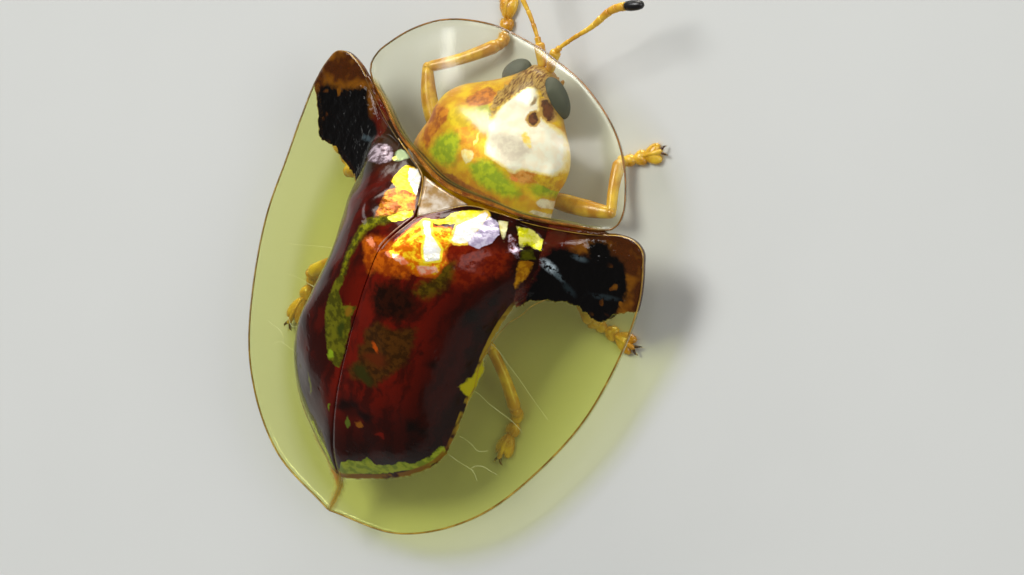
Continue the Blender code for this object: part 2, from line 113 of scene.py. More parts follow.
# Low swellings and hollows of each wing case (x, y, radius, height)
WING_CASE_RELIEF = (
    (2.42, 2.05, 0.42, 0.16),
    (2.05, 1.35, 0.34, -0.07),
    (1.40, 1.62, 0.30, -0.08),
    (0.86, 1.28, 0.26, -0.05),
    (0.55, 0.55, 0.40, 0.05),
    (1.75, 0.55, 0.38, -0.05),
    (1.55, -0.55, 0.50, 0.04),
    (0.80, -1.60, 0.55, -0.05),
    (1.85, -1.90, 0.45, 0.04),
    (0.70, -2.90, 0.50, 0.04),
    (1.55, -3.20, 0.40, -0.03),
)

# Shield over the head: outline from the middle of its front to the middle of its base
SHIELD_Y = 3.75
SHIELD_TOP = 2.86
SHIELD_FALL = (2.0, 1.5)
SHIELD_FRONT = (
    (0.0, 6.0, 1.72),
    (1.54, 5.81, 1.68),
    (2.95, 5.13, 1.64),
    (3.72, 4.22, 1.66),
    (3.92, 3.78, 1.69),
    (3.93, 3.53, 1.71),
    (3.84, 3.36, 1.74),
)
SHIELD_BASE = (
    (3.84, 3.36, 1.74),
    (3.66, 3.24, 1.80),
    (3.10, 3.02, 1.96),
    (2.00, 2.63, 2.34),
    (1.40, 2.53, 2.55),
    (0.0, 2.32, 2.78),
)

# Legs: hip, knee, ankle and toe, as the beetle holds them
LEGS = {
    "leg_front_right": (
        (1.05, 2.85, 0.62), (3.05, 3.44, 0.72), (2.42, 4.48, 0.34), (3.20, 5.18, 0.14)
    ),
    "leg_front_left": (
        (-1.55, 2.55, 0.64), (-3.12, 3.94, 0.72), (-1.90, 5.20, 0.34), (-2.40, 6.34, 0.14)
    ),
    "leg_middle_right": (
        (1.15, 1.05, 0.62), (2.58, 1.63, 0.74), (3.62, 0.94, 0.34), (4.88, 0.95, 0.14)
    ),
    "leg_middle_left": (
        (-1.15, 1.05, 0.62), (-2.76, 1.54, 0.74), (-4.04, 0.74, 0.34), (-4.88, 1.25, 0.14)
    ),
    "leg_hind_right": (
        (0.90, -0.95, 0.62), (1.80, -0.75, 0.78), (2.84, -1.76, 0.34), (2.92, -3.00, 0.14)
    ),
    "leg_hind_left": (
        (-1.05, -0.70, 0.62), (-2.70, -0.82, 0.74), (-3.75, -1.75, 0.34), (-3.80, -3.12, 0.14)
    ),
}
# How far each thigh bows to its outer side
THIGH_BOW = {"leg_front_left": 0.22}
# (share of the length, radius) of the thigh and the shin
THIGH = ((0.0, 0.12), (0.10, 0.17), (0.40, 0.215), (0.68, 0.205), (0.90, 0.16), (1.0, 0.13))
SHIN = ((0.0, 0.11), (0.06, 0.13), (0.45, 0.135), (0.80, 0.155), (0.95, 0.165), (1.0, 0.12))
# A claw's middle line: (share of the foot's length, mm to the side, height), and its radii
CLAW = ((0.97, 0.03, 0.16), (1.05, 0.09, 0.15), (1.08, 0.11, 0.07))
CLAW_RADII = (0.035, 0.034, 0.032, 0.028, 0.024, 0.019, 0.013, 0.006)
HAIR_RADIUS = 0.0045

# Feelers: path of the middle line, and (length, start radius, end radius) of each joint
FEELER_PATHS = {
    "right": (
        (0.10, 5.52, 1.06),
        (0.13, 6.02, 1.22),
        (0.40, 6.46, 1.32),
        (0.79, 6.97, 1.42),
        (1.21, 7.66, 1.55),
        (1.92, 8.16, 1.62),
    ),
    "left": (
        (-0.12, 5.52, 1.06),
        (-0.44, 5.99, 1.20),
        (-0.86, 6.40, 1.30),
        (-1.24, 6.68, 1.38),
        (-1.80, 7.22, 1.50),
        (-2.50, 7.90, 1.62),
    ),
}
FEELER_JOINTS = (
    (0.56, 0.105, 0.135),
    (0.15, 0.070, 0.076),
    (0.34, 0.044, 0.056),
    (0.34, 0.046, 0.058),
    (0.30, 0.050, 0.062),
    (0.26, 0.058, 0.072),
    (0.28, 0.074, 0.090),
    (0.28, 0.082, 0.098),
    (0.26, 0.090, 0.106),
    (0.24, 0.096, 0.112),
    (0.56, 0.100, 0.060),
)

# Outline of one feeler joint along its length, and the radii of the black one at the tip
JOINT_SHARES = (0.0, 0.04, 0.12, 0.35, 0.65, 0.88, 0.96, 1.0)
JOINT_SWELL = (0.80, 0.93, 1.0, 1.0, 1.0, 1.0, 0.97, 0.84)
TIP_RADII = (0.06, 0.09, 0.115, 0.127, 0.122, 0.095, 0.065, 0.028)

# Each eye: the ends of its long middle line, how far it reaches past them, and its other half sizes
EYE_FRONT = (0.40, 5.34, 1.25)
EYE_BACK = (0.88, 4.85, 1.00)
EYE_REACH = 0.14
EYE_HALF_SIZES = (0.27, 0.21)


def linear(hex_colour):
    """Turns an sRGB hex value such as #c08020 into the linear colour that a shader takes."""
    parts = [int(hex_colour[k : k + 2], 16) / 255 for k in (1, 3, 5)]
    return tuple(c / 12.92 if c <= 0.04045 else ((c + 0.055) / 1.055) ** 2.4 for c in parts)


def colour_property(label, words, hex_colour):
    return FloatVectorProperty(
        name=label,
        description=words,
        subtype="COLOR",
        size=3,
        min=0.0,
        max=1.0,
        default=linear(hex_colour),
    )


def length_property(label, words, millimetres):
    return FloatProperty(
        name=label, description=words, unit="LENGTH", min=0.0, precision=6, default=millimetres * MM
    )


class BeetleSizes(bpy.types.PropertyGroup):
    """Sizes of the fine forms that the solids leave to the finish."""

    shell_wall: length_property("Shell Wall", "Thickness of the wing cases and the shield", 0.14)
    rim_bead: length_property("Rim Bead", "Radius of the thickened edge of shell and shield", 0.023)
    vein: length_property("Vein", "Radius of a vein in the clear margin", 0.005)
    hair: length_property("Foot Hair", "Length of the longest hairs on the feet", 0.11)
    hairs_per_square_mm: IntProperty(
        name="Hairs", description="Hairs on each mm2 of foot", default=420, min=0
    )
    facet_rounds: IntProperty(
        name="Facet Rounds", description="Rounds of splitting for the eyes", default=5, min=3, max=6
    )


class BeetleColours(bpy.types.PropertyGroup):
    """Colours of the beetle, as it shows in daylight."""

    maroon: colour_property("Maroon", "The disc of the wing cases", "#6a1203")
    maroon_deep: colour_property("Deep Maroon", "The darkest parts of the disc", "#1c0602")
    margin: colour_property("Margin", "Tint that one face of the clear margin gives", "#fafcd2")
    shield: colour_property("Shield", "Tint that one face of the clear shield gives", "#fefef5")
    shoulder: colour_property("Shoulder", "The black patch on each shoulder", "#080605")
    amber: colour_property("Amber", "Legs and feelers", "#f4c83c")
    rim: colour_property("Shield Rim", "Thickened edge of the shield", "#9a620c")
    honey: colour_property("Wing Case Rim", "Thickened edge of the wing cases", "#c8a040")
    brown: colour_property("Brown", "Down and spots on the head", "#6a3608")
    eye: colour_property("Eye", "The faceted eyes", "#151918")
    floor: colour_property("Floor", "The studio floor", "#d3d4d0")


def put(tree, kind, sockets=None, **settings):
    """Adds one node, sets its fields, and fills or links its sockets by name or number."""
    node = tree.nodes.new(kind)
    for field, value in settings.items():
        setattr(node, field, value)
    for socket, value in (sockets or {}).items():
        target = node.inputs[socket]
        if isinstance(value, bpy.types.NodeSocket):
            tree.links.new(value, target)
        else:
            target.default_value = value
    return node


class Finish:
    """One material under construction: its tree, its shader and the place on the beetle in mm."""

    def __init__(self, name, **sockets):
        self.material = bpy.data.materials.new(name)
        self.material.use_nodes = True
        self.tree = self.material.node_tree
        self.shader = self.tree.nodes["Principled BSDF"]
        for socket, value in sockets.items():
            self.shader.inputs[socket.replace("_", " ")].default_value = value
        coordinates = put(self.tree, "ShaderNodeTexCoord")
        mapping = put(
            self.tree,
            "ShaderNodeMapping",
            {
                "Vector": coordinates.outputs["Object"],
                "Location": (0, -MIDDLE_Y, 0),
                "Scale": (1 / MM,) * 3,
            },
        )
        self.place = mapping.outputs["Vector"]
        axes = put(self.tree, "ShaderNodeSeparateXYZ", {0: self.place})
        self.x, self.y, self.z = axes.outputs

    def math(self, operation, *values):
        return put(
            self.tree, "ShaderNodeMath", dict(enumerate(values)), operation=operation
        ).outputs[0]

    def grain(self, size_mm, detail=2.0, rough=0.5, place=None):
        """Noise from 0 to 1 whose features are about size_mm across."""
        sockets = {
            "Vector": place or self.place,
            "Scale": 1 / size_mm,
            "Detail": detail,
            "Roughness": rough,
        }
        return put(self.tree, "ShaderNodeTexNoise", sockets).outputs["Fac"]

    def step(self, value, low, high):
        """0 at low and 1 at high, eased between them."""
        sockets = {"Value": value, "From Min": low, "From Max": high}
        return put(
            self.tree, "ShaderNodeMapRange", sockets, interpolation_type="SMOOTHSTEP"
        ).outputs[0]

    def warped(self, coarse_mm=0.45, coarse_shift=0.16, fine_mm=0.10, fine_shift=0.05):
        """The place on the beetle, stirred so that the edges of patches wander as grown ones do."""
        place = self.place
        for size_mm, shift in ((coarse_mm, coarse_shift), (fine_mm, fine_shift)):
            sockets = {"Vector": self.place, "Scale": 1 / size_mm, "Detail": 1.0}
            stir = put(self.tree, "ShaderNodeTexNoise", sockets).outputs["Color"]
            sockets = {0: stir, 1: (2 * shift,) * 3, 2: (-shift,) * 3}
            stir = put(
                self.tree, "ShaderNodeVectorMath", sockets, operation="MULTIPLY_ADD"
            ).outputs[0]
            place = put(self.tree, "ShaderNodeVectorMath", {0: place, 1: stir}).outputs[0]
        return place

    def patch(self, place, centre, half, turn=0.0, soft=0.25):
        """1 inside an oval of the given half sizes in mm on the stirred place, and 0 outside."""
        sockets = {
            "Vector": place,
            "Location": (*centre, 0),
            "Rotation": (0, 0, math.radians(turn)),
            "Scale": (*half, 1e4),
        }
        local = put(self.tree, "ShaderNodeMapping", sockets, vector_type="TEXTURE").outputs[0]
        out = put(
            self.tree, "ShaderNodeVectorMath", {0: local}, operation="LENGTH"
        ).outputs["Value"]
        return self.step(out, 1 + soft, 1 - soft)

    def paint(self, patches, place, colour, metal, only=None):
        """Lays the patches over the colour and the share of metal, the later ones on top."""
        for centre, half, turn, shade, shine, soft in patches:
            over = self.patch(place, centre, half, turn, soft)
            if only is not None:
                over = self.math("MULTIPLY", over, only)
            colour = self.mix(
                over, colour, getattr(colours(), shade, shade) if shade[0] != "#" else shade
            )
            metal = self.blend_value(over, metal, shine)
        return colour, metal

    def lay(self, patches, colour, metal, only=None):
        """Lays outlined patches over the colour, from each one's attribute of depth."""
        mottle = self.step(self.grain(0.17, 3.0, 0.6), 0.40, 0.60)
        tear = self.math("MULTIPLY_ADD", self.grain(0.11, 3.0, 0.6), 4.0, -2.0)
        for name, (first, second, shine, ragged, soft, fringe, _) in patches.items():
            depth = self.math("MULTIPLY_ADD", tear, ragged, self.attribute(name))
            for shade, out in ((fringe, 0.05), (self.mix(mottle, first, second), 0.0)):
                if shade is None:
                    continue
                over = self.step(depth, -soft - out, soft - out)
                if only is not None:
                    over = self.math("MULTIPLY", over, only)
                colour = self.mix(over, colour, shade)
                metal = self.blend_value(over, metal, shine)
        return colour, metal

    def glaze(self, solid, tint, roughness):
        """Shows the shader where solid is 1, and elsewhere a film that tints what is below."""
        clear = put(self.tree, "ShaderNodeBsdfTransparent", {"Color": self.rgba(tint)})
        gloss = put(self.tree, "ShaderNodeBsdfAnisotropic", {"Roughness": roughness})
        slant = put(self.tree, "ShaderNodeLayerWeight", {"Blend": 0.5}).outputs["Facing"]
        edge = self.math(
            "MULTIPLY_ADD", self.math("POWER", slant, 5.0), 1 - FILM_MIRROR, FILM_MIRROR
        )
        film = put(
            self.tree, "ShaderNodeMixShader", {0: edge, 1: clear.outputs[0], 2: gloss.outputs[0]}
        )
        both = put(
            self.tree,
            "ShaderNodeMixShader",
            {0: solid, 1: film.outputs[0], 2: self.shader.outputs[0]},
        )
        out = self.tree.nodes["Material Output"]
        self.tree.links.new(both.outputs[0], out.inputs["Surface"])

    def mix(self, factor, below, above):
        """Colour `above` over `below` where factor is 1."""
        sockets = {0: factor, 6: self.rgba(below), 7: self.rgba(above)}
        return put(self.tree, "ShaderNodeMix", sockets, data_type="RGBA").outputs[2]

    def blend_value(self, factor, below, above):
        return put(
            self.tree, "ShaderNodeMix", {0: factor, 2: below, 3: above}, data_type="FLOAT"
        ).outputs[0]

    def rgba(self, colour):
        if isinstance(colour, bpy.types.NodeSocket):
            return colour
        if isinstance(colour, str):
            return (*linear(colour), 1)
        return (*tuple(colour)[:3], 1)

    def attribute(self, name):
        return put(self.tree, "ShaderNodeAttribute", attribute_name=name).outputs["Fac"]

    def link(self, socket, value):
        self.tree.links.new(value, self.shader.inputs[socket])

    def bump(self, height, depth_mm, strength=1.0, below=None):
        sockets = {"Height": height, "Distance": depth_mm * MM, "Strength": strength}
        if below is not None:
            sockets["Normal"] = below
        return put(self.tree, "ShaderNodeBump", sockets).outputs[0]

    def pits(self, spacing_mm, radius):
        """Height of round pits set about spacing_mm apart; radius is a share of that."""
        sockets = {"Vector": self.place, "Scale": 1 / spacing_mm, "Randomness": 0.8}
        cells = put(self.tree, "ShaderNodeTexVoronoi", sockets).outputs["Distance"]
        return self.step(cells, 0.3 * radius, radius)


def colours():
    return bpy.context.scene.beetle_colours


def sizes():
    return bpy.context.scene.beetle_sizes


CHITIN_IOR = 1.55
FILM_MIRROR = ((CHITIN_IOR - 1) / (CHITIN_IOR + 1)) ** 2

# Patches on the wing cases, the later ones on top: colours that mottle, share of metal, how far
# the edge is torn and how soft it is, a bright fringe or None, and its outlines (x, y) in mm
WING_CASE_PATCHES = {
    "glow": ("#943a02", "#c25c06", 0.05, 0.05, 0.10, None, (
        ((-0.46, 0.50), (-0.38, 0.74), (-0.10, 0.82), (0.54, 0.87), (0.91, 0.60), (0.91, 0.36),
         (0.46, 0.15), (0.13, 0.12), (0.02, -0.06), (-0.16, 0.10)),
    )),
    "red_shoulder": ("#661402", "#822404", 0.05, 0.05, 0.14, None, (
        ((1.32, 1.30), (1.72, 1.57), (2.30, 1.92), (2.32, 1.34), (1.90, 0.66), (1.52, 0.72)),
    )),
    "dark_dome": ("#1a0802", "#2c0e03", 0.05, 0.08, 0.16, None, (
        ((0.30, -0.16), (0.62, 0.06), (1.10, 0.10), (1.34, -0.24), (1.16, -0.70), (0.60, -0.80),
         (0.28, -0.52)),
    )),
    "below_gold": ("#3e2c02", "#604a05", 0.05, 0.04, 0.10, None, (
        ((1.32, 0.92), (1.57, 1.15), (1.66, 0.78), (1.56, 0.39), (1.37, 0.04), (1.15, 0.11),
         (1.19, 0.37), (1.36, 0.55)),
    )),
    "olive_left": ("#4a4808", "#6c6a10", 0.05, 0.035, 0.03, None, (
        ((-0.70, -0.40), (-0.53, -0.48), (-0.60, -0.83), (-0.37, -1.05), (-0.06, -0.93),
         (-0.10, -1.26), (-0.03, -1.43), (-0.05, -1.75), (-0.03, -2.03), (-0.05, -2.44),
         (-0.14, -2.50), (-0.45, -2.41), (-0.60, -2.13), (-0.84, -1.56), (-0.82, -1.03),
         (-0.80, -0.67)),
    )),
    "brown_right": ("#361d03", "#502d07", 0.05, 0.04, 0.08, None, (
        ((0.37, -1.31), (0.70, -0.92), (1.13, -0.90), (1.47, -0.61), (1.52, -1.07), (1.55, -1.45),
         (1.40, -1.80), (1.02, -2.36), (0.31, -2.53), (0.19, -2.32), (0.43, -2.03), (0.29, -1.75),
         (0.45, -1.58)),
    )),
    "rear_band": ("#7a8a12", "#a2ac22", 0.0, 0.02, 0.015, None, (
        ((0.05, -5.05), (0.20, -4.70), (0.44, -4.52), (0.69, -4.42), (0.88, -4.19), (1.04, -4.31),
         (1.48, -4.06), (1.58, -3.93), (1.88, -3.80), (2.17, -3.45), (2.36, -3.04), (2.42, -3.21),
         (2.22, -3.62), (1.82, -3.98), (1.20, -4.42), (0.61, -4.75), (0.23, -5.00)),
        ((-0.05, -5.05), (-0.20, -4.70), (-0.44, -4.52), (-0.69, -4.42), (-0.88, -4.19),
         (-1.04, -4.31), (-1.48, -4.06), (-1.58, -3.93), (-1.88, -3.80), (-2.22, -3.62),
         (-1.82, -3.98), (-1.20, -4.42), (-0.61, -4.75), (-0.23, -5.00)),
    )),
    "fan": ("#e47202", "#ffd01c", 0.42, 0.03, 0.03, "#c85a08", (
        ((0.23, 0.70), (0.21, 1.03), (0.22, 1.51), (0.65, 1.53), (0.95, 1.67), (1.20, 1.52),
         (1.24, 1.25), (1.42, 1.03), (1.37, 0.67), (1.05, 0.52), (0.72, 0.61), (0.39, 0.62)),
    )),
    # Painted highlights: pink-orange glints on the gold
    "pink": ("#ff8452", "#ffc0a0", 0.45, 0.02, 0.02, None, (
        ((0.98, 0.68), (1.31, 0.88), (1.39, 0.77), (1.12, 0.52)),
        ((0.36, 0.66), (0.60, 0.72), (0.82, 0.66), (0.72, 0.56), (0.42, 0.58)),
    )),
    "top_yellow": ("#f4dc00", "#fff04a", 0.40, 0.02, 0.02, None, (
        ((0.30, 1.56), (0.61, 1.78), (0.60, 1.95), (0.87, 2.17), (1.17, 2.32), (1.10, 2.07),
         (0.99, 1.87), (0.80, 1.74), (0.60, 1.60)),
    )),
    # Painted highlight: a white streak across the gold, with a yellow fringe of the gold's own
    # colour
    "streak": ("#fffbe6", "#ffffff", 0.35, 0.012, 0.015, "#ffe83a", (
        ((0.22, 1.51), (0.40, 1.57), (0.75, 1.38), (1.17, 1.25), (1.29, 1.03), (1.08, 0.86),
         (0.87, 1.07), (0.65, 1.32)),
    )),
    # Painted highlight: white over the gold at the base, with a yellow fringe of the gold's own
    # colour
    "white_base": ("#fffbe8", "#ffffff", 0.35, 0.015, 0.015, "#ffd84a", (
        ((1.18, 1.51), (0.99, 1.80), (1.10, 2.07), (1.17, 2.32), (1.30, 2.27), (1.38, 2.06),
         (1.42, 1.83), (1.47, 1.60), (1.30, 1.50)),
    )),
    # Painted reflection: pale lavender at the base of the right wing case
    "lavender": ("#b4a6c4", "#ded4ea", 0.45, 0.02, 0.015, None, (
        ((1.30, 2.27), (1.59, 2.26), (1.82, 2.07), (1.86, 1.84), (1.74, 1.60), (1.47, 1.60),
         (1.42, 1.83), (1.38, 2.06)),
    )),
    "triangle": ("#f6e890", "#fff8c0", 0.35, 0.01, 0.012, None, (
        ((1.54, 2.29), (1.74, 2.36), (2.05, 1.96)),
    )),
    # Brown of the disc mottled with painted pale lavender highlights
    "flecks": ("#5a1c0c", "#dcc4d4", 0.45, 0.05, 0.03, None, (
        ((2.00, 2.16), (2.15, 2.11), (2.37, 1.97), (2.42, 1.80), (2.26, 1.84)),
    )),
    "corner": ("#e8e616", "#fff67a", 0.40, 0.02, 0.015, None, (
        ((1.93, 2.37), (2.22, 2.45), (2.57, 2.37), (2.66, 2.14), (2.51, 2.12), (2.34, 2.18),
         (2.41, 1.97), (2.23, 2.15)),
        ((-1.46, 2.26), (-1.60, 2.14), (-1.72, 2.15), (-1.62, 2.34)),
    )),
    "corner_olive": ("#383602", "#585604", 0.20, 0.02, 0.02, None, (
        ((2.41, 1.97), (2.52, 2.12), (2.65, 1.90), (2.46, 1.77)),
    )),
    "corner_orange": ("#a46404", "#cc8e0e", 0.20, 0.02, 0.02, None, (
        ((2.45, 1.74), (2.64, 1.85), (2.62, 1.44), (2.54, 1.07), (2.48, 1.40)),
        ((-2.45, 1.74), (-2.64, 1.85), (-2.62, 1.44), (-2.54, 1.07), (-2.48, 1.40)),
    )),
    "left_orange": ("#8a4404", "#c47c10", 0.25, 0.03, 0.03, None, (
        ((-1.02, 1.62), (-0.86, 1.80), (-0.69, 1.86), (-0.44, 1.83), (-0.12, 1.56), (-0.30, 1.46),
         (-0.48, 1.20), (-0.66, 1.05)),
    )),
    "left_green": ("#44440a", "#84840a", 0.12, 0.03, 0.09, None, (
        ((-0.79, 0.87), (-0.62, 1.14), (-0.41, 1.22), (-0.29, 1.16), (-0.46, 0.97), (-0.56, 0.79),
         (-0.58, 0.50), (-0.68, 0.01), (-0.58, -0.41), (-0.68, -0.46), (-0.81, -0.06),
         (-0.80, 0.44)),
    )),
    "left_fan": ("#f6bc00", "#ffe428", 0.42, 0.02, 0.02, None, (
        ((-1.19, 1.81), (-1.26, 2.11), (-1.22, 2.22), (-1.00, 2.27), (-0.82, 2.19), (-0.62, 2.01),
         (-0.44, 1.84), (-0.69, 1.84), (-0.86, 1.77)),
    )),
    # Painted highlight: the white edge of the left gold fan
    "left_white": ("#fff6c8", "#ffffff", 0.35, 0.02, 0.015, None, (
        ((-1.12, 2.21), (-0.94, 2.27), (-0.72, 2.19), (-0.56, 1.98), (-0.42, 1.83), (-0.68, 1.93),
         (-0.92, 2.03)),
    )),
    "left_line": ("#e8dc00", "#ffff58", 0.35, 0.025, 0.012, None, (
        ((-0.43, 1.22), (-0.33, 1.42), (-0.17, 1.56), (-0.06, 1.48), (-0.14, 1.29), (-0.29, 1.16)),
    )),
    # Painted reflection: mauve-grey and pale lavender on the callus
    "callus": ("#5c4a50", "#c4b2bc", 0.40, 0.03, 0.03, None, (
        ((-2.75, 1.82), (-2.46, 2.15), (-2.10, 2.30), (-1.79, 2.24), (-1.66, 2.10), (-1.85, 1.91),
         (-2.17, 1.82)),
    )),
}
WING_CASE_OVALS = (
    ((-0.40, -2.31), (0.13, 0.09), -20, "#8aa41c", 0.05, 0.35),
    ((0.75, -1.55), (0.05, 0.13), 30, "#b84c08", 0.05, 0.50),
    ((0.84, -1.80), (0.30, 0.16), 20, "#5c2406", 0.05, 0.60),
    ((0.62, -2.26), (0.34, 0.14), -10, "#34300a", 0.05, 0.50),
    ((-0.22, -1.10), (0.09, 0.16), 0, "#8a6414", 0.05, 0.45),
    ((-0.28, -1.62), (0.10, 0.20), 0, "#38400c", 0.05, 0.50),
    ((0.37, -3.57), (0.085, 0.15), 0, "#5e6c20", 0.05, 0.25),
    ((0.68, -3.46), (0.075, 0.09), 0, "#8e5412", 0.05, 0.35),
    ((1.20, -3.48), (0.08, 0.06), 20, "#701608", 0.05, 0.40),
    ((-0.99, -3.33), (0.05, 0.24), 12, "#606018", 0.05, 0.40),
    ((-0.12, -3.48), (0.03, 0.08), 0, "#6a7a14", 0.05, 0.40),
    # Painted highlight: a pale green-white glint at the top of the callus
    ((-1.55, 2.30), (0.16, 0.09), 30, "#b8cc98", 0.35, 0.35),
)
# The black shoulder patch of both sides, and its blackest part; round that it is a clear brown
SHOULDER_PATCH = (
    ((5.80, 2.20), (5.05, 1.91), (4.71, 1.65), (4.68, 1.51), (4.45, 1.31), (4.21, 1.26),
     (4.09, 1.35), (3.97, 1.32), (3.87, 1.38), (3.55, 1.33), (3.16, 1.15), (2.75, 0.91),
     (2.56, 0.60), (2.55, 0.90), (2.68, 1.40), (2.72, 1.80), (2.66, 2.20), (2.56, 2.45),
     (2.60, 3.40), (4.00, 4.20), (5.80, 4.20)),
    ((-5.80, 2.80), (-5.15, 2.29), (-4.80, 1.79), (-4.56, 1.32), (-4.33, 1.30), (-3.92, 1.35),
     (-3.61, 1.20), (-3.27, 1.14), (-2.80, 0.93), (-2.56, 0.60), (-2.55, 0.90), (-2.68, 1.40),
     (-2.72, 1.80), (-2.66, 2.20), (-2.56, 2.45), (-2.60, 3.40), (-4.00, 4.20), (-5.80, 4.20)),
)
SHOULDER_CORE = (
    ((2.76, 1.91), (2.79, 2.24), (2.95, 2.41), (3.31, 2.48), (3.70, 2.54), (3.51, 2.82),
     (3.70, 3.01), (3.99, 3.01), (4.18, 2.86), (4.48, 2.87), (4.70, 2.65), (4.84, 2.35),
     (4.87, 2.04), (4.72, 1.55), (4.51, 1.20), (4.20, 1.10), (3.90, 1.20), (3.44, 1.13),
     (3.05, 0.91), (2.66, 0.50), (2.68, 1.34), (2.74, 1.67)),
    ((-4.89, 2.47), (-4.40, 2.57), (-3.68, 3.00), (-3.32, 2.53), (-2.76, 2.32), (-2.72, 1.79),
     (-2.66, 0.50), (-3.15, 1.00), (-3.72, 1.05), (-4.00, 1.14), (-4.56, 1.10), (-4.83, 1.71),
     (-5.04, 2.09)),
)
# Highlights painted where the black shoulders catch the light
SHOULDER_GLEAM = (
    ((2.91, 1.88), (0.19, 0.100), -16, "#b4c2c8", 0.3, 0.60),
    ((3.16, 1.78), (0.16, 0.060), -16, "#4a565a", 0.3, 0.70),
    ((3.48, 2.41), (0.17, 0.060), 12, "#3c474b", 0.3, 0.65),
    ((3.50, 1.62), (0.18, 0.080), -20, "#1c2426", 0.3, 0.70),
    ((4.35, 1.90), (0.36, 0.060), 21, "#222a2c", 0.2, 0.60),
    ((-3.05, 2.02), (0.20, 0.070), 16, "#3c474b", 0.3, 0.60),
)
SPECKLED_TRIANGLE = ((2.27, -1.63), (2.34, -1.24), (2.36, -0.81), (2.42, -1.05), (2.44, -1.83))
SEAM_STAIN = (
    (-0.85, -4.28), (-0.46, -4.38), (-0.02, -4.60), (0.06, -5.10), (0.05, -6.10), (-0.05, -6.10),
    (-0.10, -5.40),
    (-0.54, -4.95), (-0.86, -4.81), (-1.16, -4.66),
)


